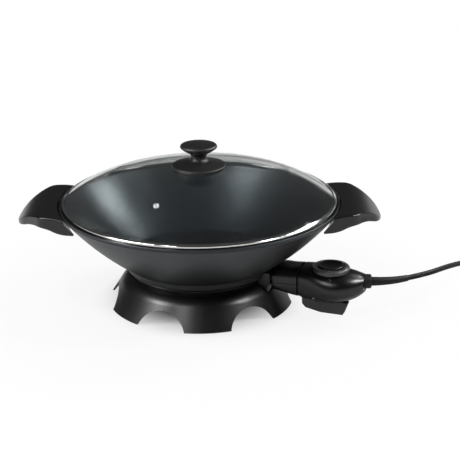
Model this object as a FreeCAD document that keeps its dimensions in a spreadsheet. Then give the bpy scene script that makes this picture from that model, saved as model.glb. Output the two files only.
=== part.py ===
"""Electric wok: a cast aluminium pan with a heating element clamped under its floor,
a scalloped plastic base, two moulded handles, a domed glass lid and a plug-in
thermostat probe with its dial, ejector lever and mains lead.

Frame: millimetres, +Z up, X through the two handles, Y away from the user.
The origin is on the table, under the pan's axis. The probe's own pieces are drawn
along +X and then turned about Z by probe_angle.
"""
import FreeCAD, Part

import math
import os
import re

import Sketcher
from FreeCAD import Placement, Rotation, Vector

# ---------------------------------------------------------------- driving sizes

SIZES = [
    # pan
    ("rim_radius", 185.0, "outer radius of the pan's rim"),
    ("rim_height", 138.0, "top of the rim above the table"),
    ("rim_band", 4.5, "height of the upright band round the rim"),
    ("rim_lip", 2.8, "width of the lip outside the lid"),
    ("rim_round", 1.2, "rounding of the rim's outer edge"),
    ("ledge_depth", 4.0, "how far the lid's ledge lies below the rim"),
    ("ledge_width", 4.8, "width of the ledge that carries the lid"),
    ("pan_wall", 4.4, "wall of the cast bowl"),
    ("bowl_curve", 400.0, "radius of the bowl's flank in section"),
    ("bowl_foot_radius", 102.0, "radius where the bowl meets its foot ring"),
    ("bowl_foot_rise", 18.0, "height of that edge above the base's deck"),
    ("foot_ring_drop", 8.0, "height of the foot ring"),
    ("foot_ring_taper", 3.5, "how much the foot ring narrows downwards"),
    ("foot_ring_width", 10.0, "width of the foot ring at its top"),
    ("floor_rise", 19.5, "cooking floor's centre above the base's deck"),
    ("floor_dish", 2.6, "rise of the cooking floor to its edge"),
    ("floor_thickness", 4.4, "thickness of the floor at its centre"),
    # base
    ("base_height", 39.5, "top of the base's deck"),
    ("base_radius", 124.0, "radius of the base at the table"),
    ("shoulder_step", 5.0, "shoulder beyond the bowl's foot ring"),
    ("shoulder_height", 28.5, "height of the edge between flare and shoulder"),
    ("shoulder_curve", 26.0, "radius of the rounded shoulder"),
    ("deck_step", 9.0, "deck's edge inside the bowl's foot ring"),
    ("deck_opening", 62.0, "radius of the hole in the deck"),
    ("base_wall", 2.8, "wall of the moulded base"),
    ("base_lift", 1.2, "gap between the feet and the table"),
    ("foot_count", 6.0, "feet of the base, with an arch between each two"),
    ("arch_radius", 37.0, "radius of an arch"),
    ("arch_top", 23.0, "height of an arch"),
    ("foot_angle", 25.0, "turn of the first foot from X, towards the user"),
    ("window_play", 2.0, "space beside the socket guard in the base's window"),
    ("window_sill", 30.0, "height of that window's sill"),
    ("pad_radius", 4.0, "radius of a rubber pad"),
    ("pad_height", 4.2, "height of a rubber pad"),
    ("pad_inset", 11.5, "circle of pads inside the base's edge"),
    ("pad_boss", 5.8, "radius of the boss over a pad"),
    ("rib_thickness", 2.0, "thickness of the rib behind each pad's boss"),
    ("rib_clearance", 14.0, "height of the ribs' lower edge"),
    ("seat_ring_height", 8.0, "height of the trim ring on the deck"),
    ("seat_ring_step", 7.0, "trim ring inside the bowl's foot ring"),
    ("seat_ring_width", 6.2, "width of the trim ring"),
    ("shield_thickness", 0.8, "thickness of the heat shield"),
    ("post_count", 3.0, "posts that join the pan to the base"),
    ("post_radius", 6.0, "radius of a post"),
    ("post_play", 3.0, "space between the element and the posts"),
    ("screw_radius", 2.0, "radius of the pan's and handles' screws"),
    ("screw_head", 4.0, "radius of their heads"),
    ("screw_head_height", 2.4, "height of their heads"),
    ("screw_play", 0.4, "clearance of a hole that a screw passes"),
    ("thread_play", 0.05, "clearance of a hole that a screw or pin grips in"),
    ("fit_gap", 0.3, "gap between loose neighbours"),
    # heating element and its terminals
    ("element_circle", 66.0, "radius of the element's ring"),
    ("element_radius", 4.0, "radius of the element's tube"),
    ("element_gap", 0.2, "paste between the element and the floor"),
    ("elbow_radius", 10.0, "bend where the element turns out to a pin"),
    ("pin_spacing", 26.0, "distance between the two contact pins"),
    ("pin_radius", 3.0, "radius of a contact pin"),
    ("pin_inset", 2.0, "root of the pins inside the foot ring"),
    ("pin_length", 22.0, "length of a contact pin"),
    ("well_start", 48.0, "blind end of the sensor well"),
    ("well_wall", 3.4, "wall round the sensor well"),
    ("guard_side", 5.5, "socket guard beyond the contact block's side"),
    ("guard_length", 16.0, "length of the socket guard"),
    ("guard_sheet", 1.5, "thickness of the guard"),
    ("guard_rise", 17.0, "height of the guard's cheeks"),
    # handles
    ("handle_overhang", 55.0, "tip of a handle beyond the rim"),
    ("handle_tuck", 25.0, "how far a handle reaches in under the rim"),
    ("handle_width", 152.0, "width of a handle at its root"),
    ("handle_shoulder", 18.0, "where its sides turn in, beyond the rim"),
    ("handle_rake", 52.0, "angle at which they turn in"),
    ("handle_nose", 58.0, "radius of the handle's nose in plan"),
    ("handle_corner_round", 20.0, "rounding of the corners in plan"),
    ("handle_edge", 2.0, "rounding of a handle's edges"),
    ("handle_gap", 2.2, "gap between the pan and a handle"),
    ("crest_step", 12.0, "highest line of a handle beyond the rim"),
    ("crest_rise", 1.6, "that line above the rim"),
    ("crest_curve", 109.0, "radius of a handle's top towards the pan"),
    ("slope_curve", 52.0, "radius of its top towards the tip"),
    ("handle_drop", 21.5, "underside of a handle below the rim"),
    ("arch_tuck", 17.0, "inner end of the finger arch, inside the rim"),
    ("arch_step", 20.0, "top of the finger arch beyond the rim"),
    ("arch_end", 16.0, "outer end of the finger arch from the tip"),
    ("arch_lead", 48.0, "radius of the curve that leads into the arch"),
    ("arch_curve", 40.0, "radius of the finger arch"),
    ("lug_width", 36.0, "width of the pan's lug inside a handle"),
    ("lug_drop", 11.0, "underside of a lug below the rim"),
    ("lug_thickness", 5.0, "thickness of a lug"),
    ("lug_overhang", 20.0, "tip of a lug beyond the rim"),
    ("lug_seat", 2.0, "handle wall and gap between a screw's head and the lug"),
    ("lug_screw", 16.0, "handle's screws from the tip of a lug"),
    # lid
    ("lid_play", 1.0, "gap between the lid and the rim's lip"),
    ("glass_edge_rise", 6.74, "top of the glass's edge above the ledge"),
    ("lid_crown_radius", 125.0, "radius of the flatter middle of the dome"),
    ("lid_crown_curve", 430.0, "radius of curvature of the middle"),
    ("lid_flank_curve", 207.0, "radius of curvature of the outer part"),
    ("glass_thickness", 4.0, "thickness of the glass"),
    ("glass_play", 0.4, "gap between the glass's edge and the steel rim"),
    ("band_sheet", 0.6, "thickness of the steel rim"),
    ("band_lip", 3.2, "width of the steel rim's lip over the glass"),
    ("band_gap", 0.2, "gap between the steel rim and what it clasps"),
    ("knob_radius", 24.3, "radius of the knob"),
    ("knob_rise", 31.5, "top of the knob above the glass"),
    ("neck_rise", 11.5, "joint between the knob and its base above the glass"),
    ("knob_stem", 9.9, "radius of the knob's waist"),
    ("knob_base_radius", 35.3, "radius of the knob's base"),
    ("knob_screw", 1.75, "radius of the knob's screw"),
    ("knob_play", 0.2, "clearance of the holes that the knob's screw passes"),
    ("glass_hole", 4.0, "radius of the glass's hole for the knob's spigot"),
    ("spigot_play", 0.4, "clearance of the spigot in that hole"),
    ("washer_radius", 8.5, "radius of the washer under the glass"),
    ("washer_height", 1.6, "thickness of that washer"),
    ("vent_x", -51.5, "steam vent"),
    ("vent_y", -107.0, "steam vent"),
    ("vent_hole", 2.3, "radius of the hole for the steam vent"),
    ("vent_wall", 0.9, "wall of the vent's eyelet"),
    # probe
    ("probe_angle", 20.0, "turn of the probe from X, towards the user"),
    ("probe_half_width", 31.0, "half width of the housing at the dial"),
    ("probe_half_height", 23.0, "half height of the housing at the dial"),
    ("nose_gap", 2.6, "space between the socket guard and the nose"),
    ("nose_length", 33.2, "length of the nose"),
    ("nose_wall", 4.4, "nose beyond the contact block's side"),
    ("bowl_clearance", 0.8, "least space between the nose and the bowl"),
    ("collar_length", 3.2, "length of the recessed collar"),
    ("collar_recess", 1.4, "depth of that recess"),
    ("body_length", 81.5, "length of the housing"),
    ("housing_wall", 2.4, "wall of the housing"),
    ("split_drop", 5.4, "parting plane of the housing below the pins' axis"),
    ("split_gap", 0.2, "gap along the parting plane"),
    ("seam_height", 0.9, "height of the groove round the nose"),
    ("seam_depth", 0.8, "depth of that groove"),
    ("block_side", 6.5, "contact block beyond each pin's axis"),
    ("block_height", 12.4, "height of the contact block"),
    ("block_inset", 8.0, "root of the pins to the front of the block"),
    ("block_length", 52.0, "length of the contact block"),
    ("block_play", 0.1, "gap round the contact block"),
    ("sleeve_wall", 1.2, "wall of a contact sleeve"),
    ("sleeve_length", 26.0, "length of a contact sleeve"),
    ("rod_radius", 3.0, "radius of the sensor rod"),
    ("rod_gap", 3.0, "tip of the rod to the blind end of its well"),
    ("rod_overhang", 10.0, "rod beyond the back of the block"),
    ("frame_length", 44.0, "length of the thermostat's bracket"),
    ("frame_width", 18.0, "width of the thermostat's bracket"),
    ("frame_sheet", 1.4, "thickness of the thermostat's bracket"),
    ("frame_inset", 0.8, "bracket above the block's lower face"),
    ("blade_width", 5.0, "width of a contact blade"),
    ("blade_sheet", 0.5, "thickness of a contact blade"),
    ("dial_offset", 36.5, "dial's axis beyond the housing's front"),
    ("dial_radius", 24.9, "radius of the dial"),
    ("dial_height", 6.2, "height of the dial's ring"),
    ("dial_grip", 16.2, "radius of the dial's raised middle"),
    ("dial_rise", 11.3, "dial's seat above the pins' axis"),
    ("dial_play", 0.4, "gap between the dial and its seat"),
    ("seat_radius", 21.5, "radius of the dial's seat"),
    ("shaft_radius", 3.0, "radius of the dial's shaft"),
    ("shaft_length", 15.0, "length of the dial's shaft"),
    ("shaft_sink", 4.5, "how far the shaft reaches up into the dial"),
    ("lens_offset", 5.5, "indicator lens beyond the dial's axis"),
    ("lens_rise", 6.6, "indicator lens above the pins' axis"),
    ("lens_sink", 1.0, "lens's centre below the housing's skin"),
    ("lens_radius", 2.1, "radius of the indicator lens"),
    ("lever_inset", 1.6, "root of the ejector lever beyond the housing's front"),
    ("lever_length", 59.4, "length of the ejector lever"),
    ("lever_drop", 33.1, "lowest point of the lever below its pivot"),
    ("lever_crown", 2.9, "top of the lever above its pivot"),
    ("lever_width", 34.0, "width of the lever at its root"),
    ("lever_tip_width", 10.0, "width of the lever at its tip"),
    ("lever_wall", 2.4, "wall of the ejector lever"),
    ("lever_play", 0.9, "gap beside the lever in its recess"),
    ("lever_headroom", 1.0, "gap over the lever in its recess"),
    ("pivot_inset", 3.8, "lever's pivot from its root"),
    ("pivot_drop", 13.9, "lever's pivot below the pins' axis"),
    ("pivot_radius", 1.5, "radius of the lever's pin"),
    ("case_screw", 1.4, "radius of the housing's screws"),
    ("case_boss", 3.8, "radius of the bosses for those screws"),
    ("case_seat", 13.5, "seat of those screws below the parting plane"),
    ("case_grip", 18.0, "length of those screws above their seat"),
    ("gland_sink", 7.1, "gland inside the housing"),
    ("gland_side", 4.1, "gland's offset away from the user"),
    ("gland_drop", 0.4, "gland's axis below the pins' axis"),
    ("gland_radius", 9.4, "radius of the gland"),
    ("gland_length", 15.0, "length of the gland"),
    ("gland_lip", 1.6, "chamfer on the gland's end"),
    ("gland_turn", 17.0, "turn of the gland from the probe's line"),
    # mains lead
    ("cord_radius", 3.5, "radius of the mains lead"),
    ("boot_radius", 5.9, "radius of the strain relief at the gland"),
    ("boot_tip", 4.1, "radius of the strain relief at its tip"),
    ("boot_length", 49.0, "length of the strain relief"),
    ("boot_bend", 30.0, "bend of the strain relief"),
    ("coil_x", 433.0, "centre of the stored coil"),
    ("coil_y", 112.0, "centre of the stored coil"),
    ("coil_radius", 37.75, "mean radius of the stored coil"),
    ("coil_width", 21.5, "width of the coiled lead, three turns side by side"),
    ("coil_height", 14.0, "height of the coiled lead, two turns deep"),
    ("tie_width", 12.0, "width of the strap round the coil"),
    ("tie_sheet", 1.0, "thickness of that strap"),
    ("plug_back", 32.0, "where the plug's tail starts, from the coil's centre"),
    ("tail_length", 16.0, "length of the lead between the coil and the plug"),
    ("plug_radius", 18.5, "radius of the plug's body"),
    ("plug_length", 57.0, "length of the plug's body"),
    ("plug_front", 14.0, "length of its cylindrical front"),
    ("plug_tail", 4.6, "radius of the plug's tail"),
    ("plug_flat", 2.0, "depth of the finger flats on the plug's sides"),
    ("plug_pin_radius", 2.4, "radius of a plug pin"),
    ("plug_pin_length", 19.0, "length of a plug pin"),
    ("plug_pin_spacing", 19.0, "distance between the plug pins"),
]

# Sizes that follow from the driving ones.
DERIVED = {
    # pan and base
    "bowl_foot_height": "base_height + bowl_foot_rise",
    "foot_ring_inner": "bowl_foot_radius - foot_ring_width",
    "floor_top": "base_height + floor_rise",
    "floor_under": "floor_top - floor_thickness",
    "ledge_top": "rim_height - ledge_depth",
    "ledge_outer": "rim_radius - rim_lip",
    "shoulder_radius": "bowl_foot_radius + shoulder_step",
    "deck_radius": "bowl_foot_radius - deck_step",
    "pad_circle": "base_radius - pad_inset",
    "seat_ring_outer": "bowl_foot_radius - seat_ring_step",
    "seat_ring_inner": "seat_ring_outer - seat_ring_width",
    "shield_top": "base_height + shield_thickness",
    "post_circle": "element_circle + element_radius + post_play + post_radius",
    "tapped": "screw_radius + thread_play",
    # contacts
    "axis_height": "floor_under - element_gap - element_radius",
    "pin_start": "foot_ring_inner - pin_inset",
    "block_width": "pin_spacing + 2*block_side",
    "block_start": "pin_start + block_inset",
    "block_end": "block_start + block_length",
    "guard_width": "block_width + 2*guard_side",
    "window_width": "guard_width + 2*window_play",
    "rod_tip": "well_start + rod_gap",
    "rod_end": "block_end + rod_overhang",
    # handles
    "handle_reach": "rim_radius + handle_overhang",
    "handle_root": "rim_radius - handle_tuck",
    "handle_corner": "rim_radius + handle_shoulder",
    "handle_bottom": "rim_height - handle_drop",
    "crest_x": "rim_radius + crest_step",
    "crest_z": "rim_height + crest_rise",
    "arch_turn": "asin((arch_tuck + arch_step)/(arch_lead + arch_curve))",
    "arch_x": "rim_radius + arch_step",
    "arch_z": "handle_bottom + (arch_lead + arch_curve)*(1 - cos(arch_turn))",
    "lug_reach": "rim_radius + lug_overhang",
    "lug_bottom": "rim_height - lug_drop",
    # lid
    "lid_radius": "ledge_outer - lid_play",
    "glass_radius": "lid_radius - band_sheet - glass_play",
    "flank_centre": "lid_crown_radius*(1 - lid_flank_curve/lid_crown_curve)",
    "flank_drop": "(lid_crown_curve - lid_flank_curve)*sqrt(1 - (lid_crown_radius/lid_crown_curve)^2)",
    "lid_top_height": "ledge_top + glass_edge_rise + lid_crown_curve - flank_drop"
                      " - sqrt(lid_flank_curve^2 - (glass_radius - flank_centre)^2)",
    "crown_centre": "lid_top_height - lid_crown_curve",
    "glass_under": "lid_top_height - glass_thickness",
    "knob_height": "lid_top_height + knob_rise",
    "knob_neck": "lid_top_height + neck_rise",
    "knob_bore": "knob_screw + knob_play",
    # probe
    "nose_start": "pin_start + guard_length + nose_gap",
    "nose_end": "nose_start + nose_length",
    "body_start": "nose_end + collar_length",
    "body_end": "body_start + body_length",
    "probe_length": "body_end - nose_start",
    "split_height": "axis_height - split_drop",
    "dial_x": "body_start + dial_offset",
    "dial_seat": "axis_height + dial_rise",
    "dial_low": "dial_seat + dial_play",
    "dial_high": "dial_low + dial_height",
    "lens_x": "dial_x + lens_offset",
    "lens_z": "axis_height + lens_rise",
    "lever_root": "body_start + lever_inset",
    "lever_tip": "lever_root + lever_length",
    "pivot_x": "lever_root + pivot_inset",
    "pivot_z": "axis_height - pivot_drop",
    "lever_low": "pivot_z - lever_drop",
    "recess_roof": "pivot_z + lever_crown + lever_headroom",
    "gland_x": "body_end - gland_sink",
    "gland_z": "axis_height - gland_drop",
    # mains lead
    "coil_inner": "coil_radius - coil_width/2",
    "coil_outer": "coil_radius + coil_width/2",
    "plug_x": "coil_x + coil_outer - cord_radius",
    "plug_y": "coil_y - plug_back",
}

# The probe's cross-sections: share of its length from the nose's mouth, height of the
# centre from the pins' axis, half width and half height, sideways offset, and squareness
# of the outline, where 2 is an oval. The nose is built round the contact block.
NOSE_HALF = "block_width/2 + nose_wall"
DIAL_SECTION = 4
SECTIONS = [
    (-0.0305, -5.4, NOSE_HALF, "probe_half_height*0.55", 0.0, 3.4),
    (0.1476, -4.6, NOSE_HALF, "probe_half_height*0.77", 0.0, 3.6),
    (0.2918, -5.4, NOSE_HALF, "probe_half_height*0.87", 0.0, 3.4),
    (0.4784, -6.4, "probe_half_width*0.92", "probe_half_height*0.98", 0.0, 2.5),
    (0.6480, -7.4, "probe_half_width", "probe_half_height", 0.0, 2.1),
    (0.8176, -6.4, "probe_half_width*0.89", "probe_half_height*0.89", 1.0, 2.0),
    (0.9618, -4.7, "probe_half_width*0.60", "probe_half_height*0.60", 5.0, 2.0),
    (1.0200, -1.5, "probe_half_width*0.37", "probe_half_height*0.42", 7.0, 2.0),
]
SECTION_POINTS = 24

# The lead's route from the strain relief down to the coil on the table.
CORD_ROUTE = [
    (269.9, -61.9, 50.0),
    (298.4, -47.4, 50.0),
    (326.0, -16.0, 46.0),
    (346.0, 22.0, 35.0),
    (361.0, 62.0, 21.0),
    (374.0, 99.0, 8.5),
    (394.0, 134.5, 3.6),
]

ALIASES = {name for name, value, note in SIZES}

doc = FreeCAD.newDocument("ElectricWok")
sheet = doc.addObject("Spreadsheet::Sheet", "Sizes")
for row, (name, value, note) in enumerate(SIZES, start=1):
    sheet.set(f"A{row}", name)
    sheet.set(f"B{row}", f"{value:g}")
    sheet.setAlias(f"B{row}", name)
    sheet.set(f"C{row}", note)
doc.recompute()


# ---------------------------------------------------------------- small helpers

def formula(text):
    """The expression with the derived sizes written out and each alias on the sheet."""
    def word(match):
        name = match[0]
        if name in DERIVED:
            return f"({formula(DERIVED[name])})"
        return "Sizes." + name if name in ALIASES else name

    return re.sub(r"[a-z_]+", word, str(text))


def number(text):
    """The present value of an expression over the sizes."""
    return float(sheet.evalExpression(formula(text)))


def bind(thing, prop, text):
    """Set a property from an expression over the sizes."""
    thing.setExpression(prop, formula(text))


UP = Vector(0, 0, 1)
DOWN = Vector(0, 0, -1)


def place(thing, x="0", y="0", z="0", axis=UP, turn="0"):
    """Put an object at a bound place, turned about an axis by a bound angle."""
    thing.Placement = Placement(Vector(number(x), number(y), number(z)),
                                Rotation(axis, number(turn)))
    for key, text in (("x", x), ("y", y), ("z", z)):
        if text != "0":
            bind(thing, f"Placement.Base.{key}", text)
    if turn != "0":
        bind(thing, "Placement.Rotation.Angle", turn)
    return thing


def new_body(name):
    return doc.addObject("PartDesign::Body", name)


def origin_feature(body, role):
    return next(item for item in body.Origin.OriginFeatures if item.Role == role)


def new_sketch(body, role, name, lift="0"):
    """A sketch on one of the body's own planes, lifted along the plane's normal."""
    sketch = body.newObject("Sketcher::SketchObject", name)
    sketch.AttachmentSupport = [(origin_feature(body, role), "")]
    sketch.MapMode = "FlatFace"
    if lift != "0":
        bind(sketch, "AttachmentOffset.Base.z", lift)
    return sketch


def arc_between(start, end, radius, turn):
    """The shorter arc from start to end: turn 1 bends left, turn -1 bends right."""
    chord = end - start
    half = chord.Length / 2
    side = Vector(-chord.y, chord.x, 0).normalize() * turn
    centre = (start + end) / 2 + side * math.sqrt(max(radius * radius - half * half, 0.0))
    first, last = (start, end) if turn > 0 else (end, start)
    begin = math.atan2(first.y - centre.y, first.x - centre.x)
    finish = math.atan2(last.y - centre.y, last.x - centre.x)
    return Part.ArcOfCircle(Part.Circle(centre, UP, radius), begin, finish)


def hold_vertex(sketch, geometry, vertex, x, y):
    """Hold one vertex at a place that is bound to the sizes."""
    for kind, text, line in (("DistanceX", x, -2), ("DistanceY", y, -1)):
        if text == "0":
            sketch.addConstraint(Sketcher.Constraint("PointOnObject", geometry, vertex, line))
        else:
            index = sketch.addConstraint(
                Sketcher.Constraint(kind, -1, 1, geometry, vertex, number(text)))
            bind(sketch, f"Constraints[{index}]", text)


def hold_radius(sketch, geometry, radius):
    index = sketch.addConstraint(Sketcher.Constraint("Radius", geometry, number(radius)))
    bind(sketch, f"Constraints[{index}]", radius)


def draw(sketch, steps, closed=True):
    """Draw an outline. A step is (x, y) for a straight run to that point, or
    (x, y, radius, turn) for an arc to it, turning left for 1 and right for -1."""
    spots = [Vector(number(step[0]), number(step[1]), 0) for step in steps]
    first = 0 if closed else 1
    runs = []
    for index in range(first, len(steps)):
        start, end, step = spots[index - 1], spots[index], steps[index]
        if len(step) == 2:
            geometry = sketch.addGeometry(Part.LineSegment(start, end))
            runs.append((geometry, 1, 2))
        else:
            geometry = sketch.addGeometry(arc_between(start, end, number(step[2]), step[3]))
            runs.append((geometry, 1, 2) if step[3] > 0 else (geometry, 2, 1))
            hold_radius(sketch, geometry, step[2])
        hold_vertex(sketch, geometry, runs[-1][2], step[0], step[1])
    if not closed:
        hold_vertex(sketch, runs[0][0], runs[0][1], steps[0][0], steps[0][1])
    for index in range(first, len(runs)):
        before, after = runs[index - 1], runs[index]
        sketch.addConstraint(
            Sketcher.Constraint("Coincident", before[0], before[2], after[0], after[1]))
    return sketch


def draw_circle(sketch, x, y, radius):
    spot = Vector(number(x), number(y), 0)
    geometry = sketch.addGeometry(Part.Circle(spot, UP, number(radius)))
    hold_radius(sketch, geometry, radius)
    hold_vertex(sketch, geometry, 3, x, y)
    return sketch


def turned(name, steps):
    """A body turned about Z from an outline given in radius and height."""
    body = new_body(name)
    sketch = draw(new_sketch(body, "XZ_Plane", name + "_profile"), steps)
    feature = body.newObject("PartDesign::Revolution", name + "_turned")
    feature.Profile = sketch
    feature.ReferenceAxis = (sketch, ["V_Axis"])
    feature.Angle = 360
    return body


def add_groove(body, name, steps):
    """Turn an outline about Z and take it away from the body."""
    sketch = draw(new_sketch(body, "XZ_Plane", name + "_profile"), steps)
    feature = body.newObject("PartDesign::Groove", name)
    feature.Profile = sketch
    feature.ReferenceAxis = (sketch, ["V_Axis"])
    feature.Angle = 360
    return feature


def add_pad(body, name, sketch, length, midplane=False):
    feature = body.newObject("PartDesign::Pad", name)
    feature.Profile = sketch
    feature.Midplane = midplane
    bind(feature, "Length", length)
    return feature


def add_pocket(body, name, sketch, length, midplane=True):
    feature = body.newObject("PartDesign::Pocket", name)
    feature.Profile = sketch
    feature.Midplane = midplane
    bind(feature, "Length", length)
    return feature


def add_fillet(body, name, radius, wanted):
    """Round the edges of the body's tip that the test picks out."""
    doc.recompute()
    base = body.Tip
    names = [f"Edge{i}" for i, edge in enumerate(base.Shape.Edges, start=1) if wanted(edge)]
    feature = body.newObject("PartDesign::Fillet", name)
    feature.Base = (base, names)
    bind(feature, "Radius", radius)
    return feature


def side_prism(name, steps, width):
    """A prism whose outline lies in X and Z, centred on y = 0."""
    body = new_body(name)
    sketch = draw(new_sketch(body, "XZ_Plane", name + "_profile"), steps)
    add_pad(body, name + "_pad", sketch, width, midplane=True)
    return body


def plan_prism(name, steps, bottom, height):
    """A prism whose outline lies in X and Y, from a given height upwards."""
    body = new_body(name)
    sketch = draw(new_sketch(body, "XY_Plane", name + "_profile", bottom), steps)
    add_pad(body, name + "_pad", sketch, height)
    return body


def primitive(kind, name, sizes, x="0", y="0", z="0", axis=UP, turn="0"):
    """A Part primitive with bound sizes at a bound place."""
    solid = doc.addObject("Part::" + kind, name)
    for prop, text in sizes.items():
        bind(solid, prop, text)
    return place(solid, x, y, z, axis, turn)


def box(name, x, z, length, width, height):
    """A box from x and z upwards, centred on y = 0."""
    sizes = {"Length": length, "Width": width, "Height": height}
    return primitive("Box", name, sizes, x, f"-({width})/2", z)


def post(name, radius, length, x="0", y="0", z="0"):
    """A cylinder along +Z that starts at z."""
    return primitive("Cylinder", name, {"Radius": radius, "Height": length}, x, y, z)


def rod(name, radius, length, x, y="0", z="axis_height"):
    """A cylinder along +X that starts at x."""
    sizes = {"Radius": radius, "Height": length}
    return primitive("Cylinder", name, sizes, x, y, z, Vector(0, 1, 0), "90")


def join(name, pieces):
    fused = doc.addObject("Part::MultiFuse", name)
    fused.Shapes = pieces
    return fused


def group(name, pieces):
    gathered = doc.addObject("Part::Compound", name)
    gathered.Links = pieces
    return gathered


def cut(name, base, *tools):
    """The base with the tools taken away."""
    result = doc.addObject("Part::Cut", name)
    result.Base = base
    result.Tool = tools[0] if len(tools) == 1 else join(name + "_tools", list(tools))
    return result


def common(name, first, second):
    """What two solids have in common."""
    result = doc.addObject("Part::Common", name)
    result.Base = first
    result.Tool = second
    return result


def on_circle(radius, angle):
    """X and Y of a point on a circle about Z, as expressions."""
    return f"({radius})*cos({angle})", f"({radius})*sin({angle})"


def ring_spots(radius, count, first):
    """The bound places of so many points on a circle about Z."""
    return [on_circle(radius, f"({first}) + {i}*360/{count}")
            for i in range(round(number(count)))]


def screw(name, x, y, seat, grip, radius="screw_radius", head="screw_head",
          head_height="screw_head_height"):
    """A screw that points up, its head under the seat."""
    cap = post(name + "_head", head, head_height, x, y, f"{seat} - ({head_height})")
    shank = post(name + "_shank", radius, grip, x, y, seat)
    return join(name, [cap, shank])


def toward_probe(name, pieces):
    """Pieces drawn along +X, turned onto the probe's line."""
    return place(group(name, pieces), axis=DOWN, turn="probe_angle")


NODES = []


def node(label, thing):
    """Register a finished sub-part; its label names its file."""
    thing.Label = label
    NODES.append(thing)
    return thing


def probe_node(label, thing):
    """Register a sub-part that was drawn along +X and lies on the probe's line."""
    return node(label, toward_probe(label + "_placed", [thing]))


# ---------------------------------------------------------------- pan

FLOOR_RADIUS = "bowl_foot_radius - 2"
FLOOR_CURVE = f"(({FLOOR_RADIUS})^2 + floor_dish^2)/(2*floor_dish)"
RIM_ROOT = ("rim_radius - 1.6", "rim_height - rim_band - 1.4")
POSTS = ring_spots("post_circle", "post_count", "60 - probe_angle")
HANDLE_SCREWS = [(f"{sx}*(lug_reach - lug_screw)", f"{sy}*(lug_width/2 - 7)")
                 for sx in (1, -1) for sy in (1, -1)]


def pan_outside():
    return turned("pan_outside", [
        ("0", "rim_height"),
        ("0", "floor_under"),
        ("foot_ring_inner", "floor_under"),
        ("foot_ring_inner", "bowl_foot_height - foot_ring_drop"),
        ("bowl_foot_radius - foot_ring_taper", "bowl_foot_height - foot_ring_drop"),
        ("bowl_foot_radius", "bowl_foot_height"),
        (*RIM_ROOT, "bowl_curve", 1),
        ("rim_radius", "rim_height - rim_band"),
        ("rim_radius", "rim_height - rim_round"),
        ("rim_radius - rim_round", "rim_height", "rim_round", 1),
    ])


def pan_inside():
    """The hollow of the pan: dished floor, curved flank and the lid's ledge."""
    return turned("pan_inside", [
        ("0", "rim_height + 5"),
        ("0", "floor_top"),
        (FLOOR_RADIUS, "floor_top + floor_dish", FLOOR_CURVE, 1),
        ("ledge_outer - ledge_width", "ledge_top", "bowl_curve - pan_wall", 1),
        ("ledge_outer", "ledge_top"),
        ("ledge_outer", "rim_height + 5"),
    ])


def beyond_bowl(gap, top):
    """All the space nearer to the bowl's outside than a gap, up to a height."""
    return [
        ("0", "bowl_foot_height"),
        (f"bowl_foot_radius + {gap}/2", f"bowl_foot_height - {gap}*0.85"),
        (f"rim_radius + {gap}", "rim_height - rim_band - 1.4", f"bowl_curve + {gap}", 1),
        (f"rim_radius + {gap}", top),
        ("0", top),
    ]


def make_pan():
    posts = [post(f"pan_post_{i}", "post_radius", "floor_under + 1 - shield_top", x, y,
                  "shield_top") for i, (x, y) in enumerate(POSTS)]
    well = toward_probe("sensor_well", [
        rod("sensor_well_tube", "rod_radius + fit_gap + well_wall",
            "pin_start - well_start + well_wall + 0.6", "well_start - well_wall - 0.6")])
    lugs = box("lugs", "-lug_reach", "lug_bottom", "2*lug_reach", "lug_width", "lug_thickness")
    solid = join("pan_solid", [pan_outside(), *posts, well, lugs])
    notch = toward_probe("foot_ring_notch", [
        box("foot_ring_notch_box", "foot_ring_inner - 8", "base_height + 1",
            "foot_ring_width + 12", "guard_width + 2", "floor_under - base_height + 2.8")])
    bore = toward_probe("sensor_bore", [
        rod("sensor_bore_tool", "rod_radius + fit_gap", "70", "well_start")])
    holes = [post(f"post_hole_{i}", "tapped", "11", x, y, "base_height")
             for i, (x, y) in enumerate(POSTS)]
    holes += [post(f"lug_hole_{i}", "tapped", "lug_thickness - 0.5", x, y, "lug_bottom - 1")
              for i, (x, y) in enumerate(HANDLE_SCREWS)]
    node("wok_pan", cut("pan_cut", solid, pan_inside(), notch, bore, *holes))


# ---------------------------------------------------------------- base

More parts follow.
